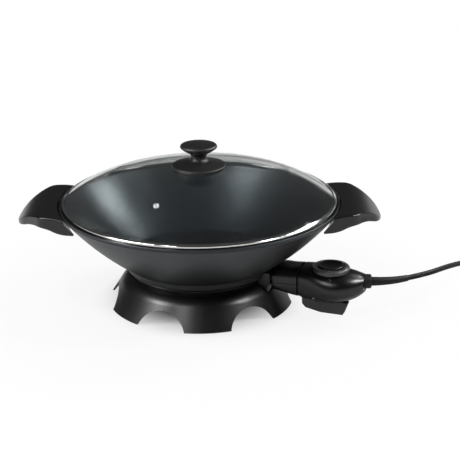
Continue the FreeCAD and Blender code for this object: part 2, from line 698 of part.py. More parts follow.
def make_base_skirt():
    """The moulded base: a flared skirt with arches, a deck, and ribbed bosses for the pads."""
    outer_steps = [
        ("base_radius", "base_lift"),
        ("shoulder_radius", "shoulder_height"),
        ("deck_radius", "base_height", "shoulder_curve", 1),
    ]
    inner_steps = [
        ("deck_radius - base_wall", "base_height - base_wall"),
        ("shoulder_radius - base_wall", "shoulder_height - base_wall/2",
         "shoulder_curve - base_wall", -1),
        ("base_radius - 1.1*base_wall", "base_lift"),
    ]
    shell = turned("skirt_shell", [
        *outer_steps, ("deck_opening", "base_height"),
        ("deck_opening", "base_height - base_wall"), *inner_steps])
    filled = turned("skirt_filled", [("0", "base_lift"), *outer_steps, ("0", "base_height")])
    pads = ring_spots("pad_circle", "foot_count", "-foot_angle")
    bosses = [post(f"pad_boss_{i}", "pad_boss", "shoulder_height - base_lift", x, y, "base_lift")
              for i, (x, y) in enumerate(pads)]
    ribs = [place(group(f"pad_rib_{i}", [
        box(f"pad_rib_box_{i}", "deck_radius - 6", "rib_clearance", "pad_circle - deck_radius + 6",
            "rib_thickness", "base_height - rib_clearance - base_wall/2")]),
        axis=UP, turn=f"{i}*360/foot_count - foot_angle") for i in range(len(pads))]
    solid = join("skirt_solid", [
        shell, common("pad_bosses_trimmed", join("pad_bosses", bosses + ribs), filled)])

    arches = new_body("arches")
    sketch = new_sketch(arches, "YZ_Plane", "arch_profile", "deck_opening")
    draw_circle(sketch, "0", "arch_top - arch_radius", "arch_radius")
    arch = add_pad(arches, "arch", sketch, "base_radius")
    pattern = arches.newObject("PartDesign::PolarPattern", "arch_pattern")
    pattern.Originals = [arch]
    pattern.Axis = (origin_feature(arches, "Z_Axis"), [""])
    pattern.Angle = 360
    bind(pattern, "Occurrences", "foot_count")
    arches.Tip = pattern
    place(arches, axis=UP, turn="180/foot_count - foot_angle")

    window = toward_probe("probe_window", [
        box("probe_window_box", "deck_radius + 1", "window_sill", "40", "window_width", "20")])
    recesses = [post(f"pad_recess_{i}", "pad_radius + 0.1", "pad_height + 0.1", x, y, "0")
                for i, (x, y) in enumerate(pads)]
    holes = [post(f"deck_hole_{i}", "screw_radius + screw_play", "10", x, y, "base_height - 6")
             for i, (x, y) in enumerate(POSTS)]
    node("base_skirt", cut("skirt_cut", solid, arches, window, *recesses, *holes))
    feet = [post(f"foot_pad_{i}", "pad_radius", "pad_height", x, y) for i, (x, y) in enumerate(pads)]
    node("foot_pads", group("foot_pad_set", feet))


def make_seat_ring():
    """The trim ring between the deck and the pan, open where the probe plugs in."""
    ring = turned("seat_ring_full", [
        ("seat_ring_inner", "base_height"),
        ("seat_ring_outer - 3.4", "base_height"),
        ("seat_ring_outer", "base_height + seat_ring_height - 1.6", "11", -1),
        ("seat_ring_outer - 1.6", "base_height + seat_ring_height", "1.6", 1),
        ("seat_ring_inner", "base_height + seat_ring_height"),
    ])
    slot = toward_probe("seat_ring_slot", [
        box("seat_ring_slot_box", "seat_ring_inner - 12", "base_height - 1", "40",
            "guard_width + 1", "seat_ring_height + 2")])
    node("seat_ring", cut("seat_ring_cut", ring, slot))


def make_heat_shield():
    disc = post("shield_disc", "seat_ring_inner - fit_gap", "shield_thickness", z="base_height")
    holes = [post(f"shield_hole_{i}", "screw_radius + screw_play", "8", x, y, "base_height - 4")
             for i, (x, y) in enumerate(POSTS)]
    node("heat_shield", cut("shield_cut", disc, *holes))


def make_base_screws():
    screws = [screw(f"base_screw_{i}", x, y, "base_height - base_wall", "base_wall + 9")
              for i, (x, y) in enumerate(POSTS)]
    node("base_screws", group("base_screw_set", screws))


# ---------------------------------------------------------------- heating element

PIN_SIDE = "pin_spacing/2"
ELBOW_Y = f"({PIN_SIDE} + elbow_radius)"
ELBOW_REACH = "(element_circle + elbow_radius)"
ELBOW_X = f"sqrt({ELBOW_REACH}^2 - {ELBOW_Y}^2)"
TOUCH_X = f"{ELBOW_X}*element_circle/{ELBOW_REACH}"
TOUCH_Y = f"{ELBOW_Y}*element_circle/{ELBOW_REACH}"


def make_heating_element():
    """A tube bent round under the pan's floor, with both ends turned out to the pins."""
    body = new_body("element")
    path = draw(new_sketch(body, "XY_Plane", "element_path", "axis_height"), [
        ("pin_start", PIN_SIDE),
        (ELBOW_X, PIN_SIDE),
        (TOUCH_X, TOUCH_Y, "elbow_radius", -1),
        ("0", "element_circle", "element_circle", 1),
        ("-element_circle", "0", "element_circle", 1),
        ("0", "-element_circle", "element_circle", 1),
        (TOUCH_X, f"-{TOUCH_Y}", "element_circle", 1),
        (ELBOW_X, f"-{PIN_SIDE}", "elbow_radius", -1),
        ("pin_start", f"-{PIN_SIDE}"),
    ], closed=False)
    section = new_sketch(body, "YZ_Plane", "element_section", "pin_start")
    draw_circle(section, PIN_SIDE, "axis_height", "element_radius")
    doc.recompute()
    pipe = body.newObject("PartDesign::AdditivePipe", "element_pipe")
    pipe.Profile = section
    pipe.Spine = (path, [f"Edge{i}" for i in range(1, len(path.Shape.Edges) + 1)])
    probe_node("heating_element", group("element_turned", [body]))


def make_terminal_pins():
    pins = [rod(f"terminal_pin_{i}", "pin_radius", "pin_length", "pin_start", f"{side}*{PIN_SIDE}")
            for i, side in enumerate((1, -1))]
    probe_node("terminal_pins", group("terminal_pin_set", pins))


def make_pin_seals():
    """Ceramic bushes on the element's ends, where the pins come out."""
    seals = [cut(f"pin_seal_{i}",
                 rod(f"pin_seal_body_{i}", "element_radius + 2", "6", "pin_start - 3",
                     f"{side}*{PIN_SIDE}"),
                 rod(f"pin_seal_bore_{i}", "element_radius + 0.05", "8", "pin_start - 8",
                     f"{side}*{PIN_SIDE}"),
                 rod(f"pin_seal_hole_{i}", "pin_radius + 0.05", "12", "pin_start - 4",
                     f"{side}*{PIN_SIDE}"))
             for i, side in enumerate((1, -1))]
    probe_node("pin_seals", group("pin_seal_set", seals))


def make_socket_guard():
    """The steel channel that guards the pins and guides the probe's nose."""
    outer = box("guard_outer", "pin_start", "base_height", "guard_length", "guard_width",
                "guard_rise")
    inner = box("guard_inner", "pin_start - 1", "base_height + guard_sheet", "guard_length + 2",
                "guard_width - 2*guard_sheet", "guard_rise")
    probe_node("socket_guard", cut("guard_cut", outer, inner))


# ---------------------------------------------------------------- handles

NOSE_X = "(handle_reach - handle_nose + handle_nose*sin(handle_rake))"
NOSE_Y = "(handle_nose*cos(handle_rake))"
CORNER_Y = f"({NOSE_Y} + ({NOSE_X} - handle_corner)*tan(handle_rake))"
CAP = "(rim_height + 12)"
HANDLE_FLOOR = "(handle_bottom - 12)"
ARCH_FALL = "((handle_reach - arch_end) - arch_x)"
ARCH_DEPTH = f"sqrt(arch_curve^2 - {ARCH_FALL}^2)"


def crest_height(x, curve):
    """Height of a handle's top at x, on the arc of a given radius through its crest."""
    return f"(crest_z - {curve} + sqrt({curve}^2 - ({x} - crest_x)^2))"


def handle_form(tag):
    """A handle's outer form: plan outline, crowned top, finger arch below, rounded edges
    and clearance from the pan."""
    body = new_body(f"handle_form_{tag}")
    plan = new_sketch(body, "XY_Plane", f"handle_plan_{tag}", HANDLE_FLOOR)
    draw(plan, [
        ("handle_root", "-handle_width/2"),
        ("handle_corner", f"-{CORNER_Y}"),
        (NOSE_X, f"-{NOSE_Y}"),
        (NOSE_X, NOSE_Y, "handle_nose", 1),
        ("handle_corner", CORNER_Y),
        ("handle_root", "handle_width/2"),
    ])
    add_pad(body, f"handle_pad_{tag}", plan, f"crest_z + 5 - {HANDLE_FLOOR}")
    corner_x, corner_y = number("handle_corner"), number(CORNER_Y)
    add_fillet(body, f"handle_corners_{tag}", "handle_corner_round", lambda edge: (
        abs(edge.CenterOfMass.x - corner_x) < 0.1
        and abs(abs(edge.CenterOfMass.y) - corner_y) < 0.1))
    top = new_sketch(body, "XZ_Plane", f"handle_top_{tag}")
    draw(top, [
        ("handle_root - 5", CAP),
        ("handle_root - 5", crest_height("(handle_root - 5)", "crest_curve")),
        ("crest_x", "crest_z", "crest_curve", -1),
        ("handle_reach - 2", crest_height("(handle_reach - 2)", "slope_curve"),
         "slope_curve", -1),
        ("handle_reach + 5", crest_height("(handle_reach - 2)", "slope_curve") + " - 9"),
        ("handle_reach + 5", CAP),
    ])
    add_pocket(body, f"handle_top_cut_{tag}", top, "handle_width + 10")
    arch_low = f"(arch_z - arch_curve + {ARCH_DEPTH})"
    under = new_sketch(body, "XZ_Plane", f"handle_under_{tag}")
    draw(under, [
        ("handle_root - 5", f"{HANDLE_FLOOR} - 1"),
        ("handle_reach + 5", f"{HANDLE_FLOOR} - 1"),
        ("handle_reach + 5", f"{arch_low} - (arch_end + 5)*{ARCH_FALL}/{ARCH_DEPTH}"),
        ("handle_reach - arch_end", arch_low),
        ("arch_x - arch_curve*sin(arch_turn)", "arch_z - arch_curve*(1 - cos(arch_turn))",
         "arch_curve", 1),
        ("rim_radius - arch_tuck", "handle_bottom", "arch_lead", -1),
        ("handle_root - 5", "handle_bottom"),
    ])
    add_pocket(body, f"handle_under_cut_{tag}", under, "handle_width + 10")
    limit = number("rim_radius") - 10

    def rounded(edge):
        """The edges along the outline, on top and below, beside the pan and beyond."""
        box_ = edge.BoundBox
        upright = box_.ZLength > 4 * max(box_.XLength, box_.YLength)
        across = box_.XLength < 0.01 and box_.YLength > 60
        return box_.XMax > limit and not upright and not across

    add_fillet(body, f"handle_edges_{tag}", "handle_edge", rounded)
    add_groove(body, f"handle_clearance_{tag}", beyond_bowl("handle_gap", CAP))
    return body


def make_handle(tag, turn):
    slot = box(f"lug_slot_{tag}", "handle_root - 5", "lug_bottom - fit_gap",
               "lug_reach + fit_gap - handle_root + 5", "lug_width + 2*fit_gap",
               "lug_thickness + 2*fit_gap")
    spots = HANDLE_SCREWS[:2]
    holes = [post(f"handle_hole_{tag}_{i}", "screw_radius + screw_play", "20", x, y,
                  "lug_bottom - 18") for i, (x, y) in enumerate(spots)]
    sinks = [post(f"handle_sink_{tag}_{i}", "screw_head + 0.6", "16", x, y,
                  "lug_bottom - lug_seat - 16") for i, (x, y) in enumerate(spots)]
    form = cut(f"handle_cut_{tag}", handle_form(tag), slot, *holes, *sinks)
    node(f"handle_{tag}", place(form, turn=turn))


def make_handle_screws():
    screws = [screw(f"handle_screw_{i}", x, y, "lug_bottom - lug_seat",
                    "lug_seat + lug_thickness - 1.5")
              for i, (x, y) in enumerate(HANDLE_SCREWS)]
    node("handle_screws", group("handle_screw_set", screws))


# ---------------------------------------------------------------- lid

FLANK_CENTRE_Z = "(crown_centre + flank_drop)"
BAND_BOTTOM = "(ledge_top + band_gap)"
BAND_INNER = "(lid_radius - band_lip)"


def crown_height(radius, offset="0"):
    """Height of the dome's middle at a radius, moved out from the glass by an offset."""
    return f"(crown_centre + sqrt((lid_crown_curve + ({offset}))^2 - ({radius})^2))"


def flank_height(radius, offset="0"):
    """Height of the dome's outer part at a radius, moved out from the glass."""
    return (f"({FLANK_CENTRE_Z} + sqrt((lid_flank_curve + ({offset}))^2"
            f" - (({radius}) - flank_centre)^2))")


def make_lid_glass():
    inner_crown = "(lid_crown_radius*(1 - glass_thickness/lid_crown_curve))"
    inner_edge = "(glass_radius - 0.55*glass_thickness)"
    dome = turned("glass_dome", [
        ("0", "lid_top_height"),
        ("lid_crown_radius", crown_height("lid_crown_radius"), "lid_crown_curve", -1),
        ("glass_radius", flank_height("glass_radius"), "lid_flank_curve", -1),
        (inner_edge, flank_height(inner_edge, "-glass_thickness")),
        (inner_crown, crown_height(inner_crown, "-glass_thickness"),
         "lid_flank_curve - glass_thickness", 1),
        ("0", "glass_under", "lid_crown_curve - glass_thickness", 1),
    ])
    hole = post("glass_hole_tool", "glass_hole", "20", z="lid_top_height - 15")
    vent = post("vent_tool_rod", "vent_hole", "12", z="lid_crown_curve - 8")
    node("lid_glass", cut("glass_cut", dome, hole, on_vent("vent_tool", vent)))


def on_vent(name, thing):
    """A piece drawn about Z, with the dome's centre of curvature as its origin, moved
    to the steam vent and square to the glass there."""
    x, y = number("vent_x"), number("vent_y")
    return place(group(name, [thing]), z="crown_centre", axis=Vector(-y, x, 0),
                 turn="asin(sqrt(vent_x^2 + vent_y^2)/lid_crown_curve)")


def make_vent_grommet():
    """A steel eyelet rolled over both faces of the glass."""
    bore = "vent_hole - vent_wall"
    inner_face = "lid_crown_curve - glass_thickness - 0.1"
    outer_face = "lid_crown_curve + 0.1"
    eyelet = turned("vent_eyelet", [
        (bore, f"{inner_face} - 0.6"),
        ("vent_hole + 1", f"{inner_face} - 0.6"),
        ("vent_hole + 1", inner_face),
        ("vent_hole - 0.1", inner_face),
        ("vent_hole - 0.1", outer_face),
        ("vent_hole + 1.3", outer_face),
        ("vent_hole + 0.7", f"{outer_face} + 0.7"),
        (bore, f"{outer_face} + 0.7"),
    ])
    node("vent_grommet", on_vent("vent_grommet_set", eyelet))


def make_lid_rim():
    """The steel channel rolled round the glass; its lower half drops inside the pan."""
    wall = "(lid_radius - band_sheet)"
    over = "(band_gap + band_sheet)"
    node("lid_rim", turned("lid_band", [
        (BAND_INNER, BAND_BOTTOM),
        ("lid_radius - 1", BAND_BOTTOM),
        ("lid_radius", f"{BAND_BOTTOM} + 1", "1", 1),
        ("lid_radius", flank_height("lid_radius", "0.4")),
        ("lid_radius - 0.8", flank_height("lid_radius - 0.8", over), "1.4", 1),
        (BAND_INNER, flank_height(BAND_INNER, over)),
        (BAND_INNER, flank_height(BAND_INNER, "band_gap")),
        (wall, flank_height(wall, "band_gap")),
        (wall, f"{BAND_BOTTOM} + band_sheet"),
        (f"{BAND_INNER} + band_sheet", f"{BAND_BOTTOM} + band_sheet"),
        (f"{BAND_INNER} + band_sheet",
         flank_height(f"{BAND_INNER} + band_sheet", "-glass_thickness - band_gap")),
        (BAND_INNER, flank_height(BAND_INNER, "-glass_thickness - band_gap")),
    ]))


def make_knob():
    """The knob and its saucer-shaped base, held by one screw through the glass."""
    spigot = "glass_hole - spigot_play"
    seat = crown_height("knob_base_radius", "0.2")
    foot = turned("knob_foot", [
        ("knob_bore", "glass_under + 0.6"),
        (spigot, "glass_under + 0.6"),
        (spigot, crown_height(spigot, "0.2")),
        ("knob_base_radius", seat, "lid_crown_curve + 0.2", -1),
        ("knob_base_radius", f"{seat} + 2.6"),
        ("knob_base_radius - 1.4", f"{seat} + 4", "1.4", 1),
        ("knob_stem + 5", "knob_neck - 4.2"),
        ("knob_stem", "knob_neck", "7", -1),
        ("knob_bore", "knob_neck"),
    ])
    node("knob_base", foot)
    handle = turned("knob_form", [
        ("0", "knob_neck"),
        ("knob_stem", "knob_neck"),
        ("knob_stem", "knob_neck + 2.5"),
        ("knob_stem + 6.1", "knob_neck + 8.5", "8", -1),
        ("knob_radius - 1.6", "knob_height - 6.8", "34", 1),
        ("knob_radius", "knob_height - 4.6", "2.6", 1),
        ("knob_radius - 2", "knob_height - 1.9", "3", 1),
        ("0", "knob_height", "((knob_radius - 2)^2 + 1.9^2)/(2*1.9)", 1),
    ])
    hole = post("knob_thread", "knob_screw + thread_play", "14", z="knob_neck - 1")
    node("lid_knob", cut("knob_cut", handle, hole))
    washer_low = "glass_under - fit_gap - washer_height"
    washer = cut("knob_washer_cut",
                 post("knob_washer_disc", "washer_radius", "washer_height", z=washer_low),
                 post("knob_washer_hole", "knob_bore", "5", z=f"{washer_low} - 2"))
    node("knob_washer", washer)
    node("knob_screw", screw("knob_screw_turned", "0", "0", washer_low,
                             f"knob_neck + 9 - ({washer_low})", "knob_screw"))


# ---------------------------------------------------------------- probe

def section_ring(name, x, centre, half_width, half_height, offset, squareness):
    """An upright closed curve across the probe's line, between an oval and a rectangle."""
    wide, high = number(half_width), number(half_height)
    spots = []
    for i in range(SECTION_POINTS):
        turn = 2*math.pi*i/SECTION_POINTS
        across, up = math.cos(turn), math.sin(turn)
        reach = (abs(across)**squareness + abs(up)**squareness)**(-1/squareness)
        spots.append(Vector(0, wide*across*reach, high*up*reach))
    curve = Part.BSplineCurve()
    curve.interpolate(spots, PeriodicFlag=True)
    ring = doc.addObject("Part::Feature", name)
    ring.Shape = Part.Wire([curve.toShape()])
    return place(ring, x, offset, centre)


def probe_loft(name, wall):
    """The probe's lofted form, shrunk all round by a wall."""
    loft = doc.addObject("Part::Loft", name)
    loft.Sections = [
        section_ring(f"{name}_section_{i}", f"nose_start + probe_length*({share})",
                     f"axis_height + ({drop})", f"{wide} - ({wall})", f"{high} - ({wall})",
                     str(offset), squareness)
        for i, (share, drop, wide, high, offset, squareness) in enumerate(SECTIONS)]
    loft.Solid = True
    return loft


def slab(name, start, end, bottom="-20", height="140"):
    """A wide slab across the probe's line, to trim it with."""
    return box(name, start, bottom, f"{end} - ({start})", "120", height)


def stadium(name, play, start, end):
    """The contact block's round-ended section, drawn out along the probe's line."""
    body = new_body(name)
    sketch = new_sketch(body, "YZ_Plane", name + "_section", start)
    half = f"(block_height/2 + {play})"
    flat = "(block_width - block_height)/2"
    draw(sketch, [
        (f"-{flat}", f"axis_height - {half}"),
        (flat, f"axis_height - {half}"),
        (f"{flat} + {half}", "axis_height", half, 1),
        (flat, f"axis_height + {half}", half, 1),
        (f"-{flat}", f"axis_height + {half}"),
        (f"-{flat} - {half}", "axis_height", half, 1),
        (f"-{flat}", f"axis_height - {half}", half, 1),
    ][1:])
    add_pad(body, name + "_pad", sketch, f"{end} - ({start})")
    return body


def make_nose(form, tunnel):
    """The nose, moulded in two halves round the contact block, with a groove at their joint."""
    trimmed = common("nose_trimmed", form, slab("nose_slab", "nose_start", "nose_end"))
    bowl = turned("nose_clearance", beyond_bowl("bowl_clearance", "rim_height"))
    trimmed = cut("nose_clear", trimmed, bowl)
    seam = slab("nose_seam", "nose_start - 5", "nose_end + 5",
                "split_height - seam_height/2", "seam_height")
    inset = slab("nose_inset", "nose_start", "nose_end",
                 "split_height - seam_height/2", "seam_height")
    web = common("nose_web", probe_loft("seam_form", "seam_depth"), inset)
    solid = join("nose_solid", [cut("nose_halves", trimmed, seam), web])
    probe_node("probe_nose", cut("nose_cut", solid, tunnel))


def make_collar(tunnel):
    """The recessed ring between the nose and the housing."""
    ring = common("collar_trimmed", probe_loft("collar_form", "collar_recess"),
                  slab("collar_slab", "nose_end", "body_start"))
    probe_node("probe_collar", cut("collar_cut", ring, tunnel))


DIAL_DROP = SECTIONS[DIAL_SECTION][1]
LENS_Y = (f"(lens_sink - probe_half_width*sqrt(1 - ((lens_rise - ({DIAL_DROP}))"
          "/probe_half_height)^2))")
CASE_SCREWS = [("lever_root + 19", "probe_half_width*0.71"),
               ("lever_root + 19", "-probe_half_width*0.71"),
               ("gland_x - 6.6", "2")]
LEVER_RUN = "(lever_tip - lever_root)"
LEVER_SLANT = f"((lever_width - lever_tip_width)/2/{LEVER_RUN})"


def lever_plan(name, spread, start, end, bottom, height):
    """The lever's tapering plan, widened by a spread."""
    def half(x):
        return f"(lever_width/2 + ({spread}) - (({x}) - lever_root)*{LEVER_SLANT})"

    return plan_prism(name, [
        (start, f"-{half(start)}"),
        (end, f"-{half(end)}"),
        (end, half(end)),
        (start, half(start)),
    ], bottom, height)


def make_housing(form, tunnel):
    """The two halves of the housing, hollow inside, with a recess for the lever below."""
    recess_start, recess_end = "lever_root - 2.7", "lever_tip + 5"
    recess = lever_plan("lever_recess", "lever_play", recess_start, recess_end, "-5",
                        "recess_roof + 5")
    recess_shell = lever_plan("lever_recess_shell", "lever_play + 2", "body_start",
                              f"{recess_end} + 2", "-5", "recess_roof + 7")
    bosses = [post(f"case_boss_{i}", "case_boss", "100", x, y, "0")
              for i, (x, y) in enumerate(CASE_SCREWS)]
    cavity = cut("case_cavity",
                 common("case_hollow", probe_loft("hollow_form", "housing_wall"),
                        slab("hollow_slab", "body_start + housing_wall",
                             "body_end - housing_wall")),
                 recess_shell, *bosses)
    outside = common("case_outside", form, slab("case_slab", "body_start", "body_end"))
    seat = post("dial_seat_boss", "seat_radius", "dial_seat - split_height - 8", "dial_x", "0",
                "split_height + 8")
    gland_bore = at_gland("gland_bore", [rod("gland_bore_tool", "gland_radius + block_play",
                                             "gland_length + 20", "-1", z="0")])
    screw_holes = [post(f"case_hole_{i}", "case_screw + thread_play", "case_grip + 4", x, y,
                        "split_height - case_seat - 0.5") for i, (x, y) in enumerate(CASE_SCREWS)]
    upper = common("case_upper", outside,
                   slab("upper_slab", "body_start", "body_end", "split_height + split_gap/2"))
    upper = join("case_upper_seated", [upper, seat])
    flat = post("dial_flat", "dial_radius + 1", "30", "dial_x", "0", "dial_seat")
    shaft_hole = post("shaft_hole", "shaft_radius + fit_gap", "40", "dial_x", "0", "split_height")
    lens_hole = primitive("Sphere", "lens_hole", {"Radius": "lens_radius + 0.1"},
                          "lens_x", LENS_Y, "lens_z")
    probe_node("housing_upper", cut("housing_upper_cut", upper, cavity, flat, shaft_hole,
                                    lens_hole, gland_bore, tunnel, *screw_holes))
    lower = common("case_lower", outside,
                   slab("lower_slab", "body_start", "body_end", "-20",
                        "20 + split_height - split_gap/2"))
    pin_hole = primitive("Cylinder", "pin_hole",
                         {"Radius": "pivot_radius + thread_play", "Height": "lever_width + 5"},
                         "pivot_x", "lever_width/2 + 2.5", "pivot_z", Vector(1, 0, 0), "90")
    sinks = [post(f"case_sink_{i}", "2*case_screw + fit_gap", "split_height - case_seat", x, y)
             for i, (x, y) in enumerate(CASE_SCREWS)]
    probe_node("housing_lower", cut("housing_lower_cut", lower, cavity, recess, pin_hole,
                                    gland_bore, tunnel, *screw_holes, *sinks))
    screws = [screw(f"case_screw_{i}", x, y, "split_height - case_seat", "case_grip",
                    "case_screw", "2*case_screw", "1.8")
              for i, (x, y) in enumerate(CASE_SCREWS)]
    probe_node("housing_screws", group("case_screw_set", screws))
    probe_node("indicator_lens", primitive("Sphere", "lens_ball", {"Radius": "lens_radius"},
                                           "lens_x", LENS_Y, "lens_z"))
    probe_node("lever_pin", primitive("Cylinder", "pivot_pin",
                                      {"Radius": "pivot_radius", "Height": "lever_width + 4.6"},
                                      "pivot_x", "lever_width/2 + 2.3", "pivot_z",
                                      Vector(1, 0, 0), "90"))


def make_contact_block():
    """The heat-proof block that carries the contact sleeves and the sensor rod."""
    block = stadium("block_form", "0", "block_start", "block_end")
    bores = [rod(f"block_bore_{i}", "pin_radius + fit_gap + sleeve_wall + 0.05",
                 "sleeve_length + 1", "block_start - 1", f"{side}*{PIN_SIDE}")
             for i, side in enumerate((1, -1))]
    channel = rod("rod_channel", "rod_radius + 0.05", "block_end - block_start + 4",
                  "block_start - 2")
    probe_node("contact_block", cut("block_cut", block, channel, *bores))
    sleeves = [cut(f"sleeve_{i}",
                   rod(f"sleeve_body_{i}", "pin_radius + fit_gap + sleeve_wall", "sleeve_length",
                       "block_start", f"{side}*{PIN_SIDE}"),
                   rod(f"sleeve_bore_{i}", "pin_radius + fit_gap", "sleeve_length - 3",
                       "block_start - 1", f"{side}*{PIN_SIDE}"))
               for i, side in enumerate((1, -1))]
    probe_node("contact_sleeves", group("sleeve_set", sleeves))
    tip = primitive("Sphere", "rod_tip_ball", {"Radius": "rod_radius"},
                    "rod_tip + rod_radius", "0", "axis_height")
    shank = rod("rod_shank", "rod_radius", "rod_end - rod_tip - rod_radius",
                "rod_tip + rod_radius")
    probe_node("sensor_rod", join("sensor_rod_form", [tip, shank]))


def make_thermostat():
    """The bracket on the back of the block and the two contact blades."""
    foot_height = "axis_height - block_height/2 + frame_inset"
    foot = box("frame_foot", "block_end", foot_height, "frame_length", "frame_width",
               "frame_sheet")
    face = box("frame_face", "block_end", foot_height, "frame_sheet", "frame_width",
               "block_height - 2*frame_inset")
    hole = rod("frame_hole", "rod_radius + thread_play", "10", "block_end - 4")
    probe_node("thermostat_frame", cut("frame_cut", join("frame_solid", [foot, face]), hole))
    low = f"{foot_height} + frame_sheet"
    stack_start = "(block_end + frame_length - 9)"
    stack = box("blade_stack", stack_start, low, "8", "blade_width + 2", "4.2")
    blades = [box(f"blade_{i}", "rod_end + fit_gap", f"{low} + {lift}",
                  f"{stack_start} - rod_end - fit_gap", "blade_width", "blade_sheet")
              for i, lift in enumerate((1.4, 3.4))]
    probe_node("contact_blades", join("blade_set", [stack, *blades]))


def make_lever():
    """The ejector lever: a tapering trough hung from its pin under the housing."""
    top = "pivot_z + lever_crown"
    outer = common("lever_outer", side_prism("lever_side", [
        ("lever_root", top),
        ("lever_root + 1.4", "lever_low + 14"),
        ("lever_root + 6", "lever_low + 8.6"),
        ("lever_root + 25", "lever_low + 2.8"),
        ("lever_tip - 6", "lever_low"),
        ("lever_tip", "lever_low + 16"),
        ("pivot_x + 5", "pivot_z - 6"),
        ("pivot_x + 3.4", top),
    ], "lever_width + 10"), lever_plan("lever_outer_plan", "0", "lever_root - 5",
                                       "lever_tip + 5", "lever_low - 5", "60"))
    inner = common("lever_inner", side_prism("lever_inner_side", [
        ("lever_root + lever_wall", "pivot_z + 24"),
        ("lever_root + lever_wall + 1.4", "lever_low + 15"),
        ("lever_root + lever_wall + 4.6", "lever_low + 11.2"),
        ("lever_root + 25.5", "lever_low + 5.3"),
        ("lever_tip - 8.4", "lever_low + 2.6"),
        ("lever_tip - 2", "lever_low + 20.6"),
        ("lever_tip - 2", "pivot_z + 24"),
    ], "lever_width + 10"), lever_plan("lever_inner_plan", "-lever_wall", "lever_root - 5",
                                       "lever_tip + 5", "lever_low - 5", "70"))
    hole = primitive("Cylinder", "lever_hole",
                     {"Radius": "pivot_radius + fit_gap", "Height": "lever_width + 10"},
                     "pivot_x", "lever_width/2 + 5", "pivot_z", Vector(1, 0, 0), "90")
    probe_node("release_lever", cut("lever_cut", outer, inner, hole))


def make_dial():
    """The temperature dial with its raised grip, and the shaft under it."""
    form = turned("dial_form", [
        ("0", "dial_low"),
        ("dial_radius - 1", "dial_low"),
        ("dial_radius", "dial_low + 1", "1", 1),
        ("dial_radius", "dial_high - 3.2"),
        ("dial_radius - 3", "dial_high", "3.3", 1),
        ("dial_grip + 3", "dial_high"),
        ("dial_grip + 1.6", "dial_high - 1.6"),
        ("dial_grip + 0.4", "dial_high - 1.6"),
        ("dial_grip", "dial_high + 1.2"),
        ("dial_grip - 1.2", "dial_high + 1.6", "1.2", 1),
        ("dial_grip - 3", "dial_high + 0.8"),
        ("0", "dial_high - 1", "((dial_grip - 3)^2 + 1.8^2)/(2*1.8)", -1),
    ])
    placed = place(group("dial_placed", [form]), "dial_x")
    bore = post("dial_bore", "shaft_radius + thread_play", "shaft_sink + 1.5", "dial_x", "0",
                "dial_low - 1")
    notch = place(group("dial_notch", [
        primitive("Cylinder", "dial_notch_tool", {"Radius": "1.3", "Height": "4"},
                  *on_circle("dial_radius - 4", "-80"), "dial_high - 0.9")]), "dial_x")
    probe_node("dial_knob", cut("dial_cut", placed, bore, notch))
    probe_node("dial_shaft", post("shaft_rod", "shaft_radius", "shaft_length",
                                  "dial_x", "0", "dial_low + shaft_sink - shaft_length"))


# ---------------------------------------------------------------- gland and mains lead

def at_gland(name, pieces):
    """Pieces drawn along +X from the gland's inner end, moved to it."""
    return place(group(name, pieces), "gland_x", "gland_side", "gland_z", UP, "gland_turn")


def make_gland():
    """The gland in the housing's end and the tapered strain relief beyond it."""
    barrel = rod("gland_barrel", "gland_radius", "gland_length - gland_lip", "0", z="0")
    lip = primitive("Cone", "gland_lip",
                    {"Radius1": "gland_radius", "Radius2": "gland_radius - 0.9*gland_lip",
                     "Height": "gland_lip"},
                    "gland_length - gland_lip", "0", "0", Vector(0, 1, 0), "90")
    probe_node("cord_gland", group("gland_turned", [
        at_gland("gland_placed", [join("gland_form", [barrel, lip])])]))
    bend = "(boot_length/(boot_bend*pi/180))"
    loft = doc.addObject("Part::Loft", "boot_loft")
    count = 5
    circles = []
    for i in range(count + 1):
        angle = f"boot_bend*{i}/{count}"
        circle = doc.addObject("Part::Circle", f"boot_section_{i}")
        bind(circle, "Radius", f"boot_radius + (boot_tip - boot_radius)*{i}/{count}")
        place(circle, f"gland_length + {bend}*sin({angle})", f"{bend}*(1 - cos({angle}))")
        along = math.radians(number(angle))
        heading = Vector(math.cos(along), math.sin(along), 0)
        circle.Placement = Placement(circle.Placement.Base, Rotation(UP, heading))
        circles.append(circle)
    loft.Sections = circles
    loft.Solid = True
    probe_node("strain_relief", group("boot_turned", [at_gland("boot_placed", [loft])]))


def rounded_route(points):
    """Straight runs joined by tangent arcs, each as large as its two runs allow."""
    spots = [Vector(*point) for point in points]
    edges, radii = [], []
    start = spots[0]
    for before, here, after in zip(spots, spots[1:], spots[2:]):
        back, ahead = (before - here), (after - here)
        turn = math.pi - back.getAngle(ahead)
        reach = 0.45 * min(back.Length, ahead.Length)
        radii.append(reach / math.tan(turn / 2))
        back.normalize()
        ahead.normalize()
        enter, leave = here + back * reach, here + ahead * reach
        middle = (back + ahead).normalize()
        apex = here + middle * (radii[-1] / math.cos(turn / 2) - radii[-1])
        edges.append(Part.LineSegment(start, enter).toShape())
        edges.append(Part.Arc(enter, apex, leave).toShape())
        start = leave
    edges.append(Part.LineSegment(start, spots[-1]).toShape())
    return Part.Wire(edges), radii


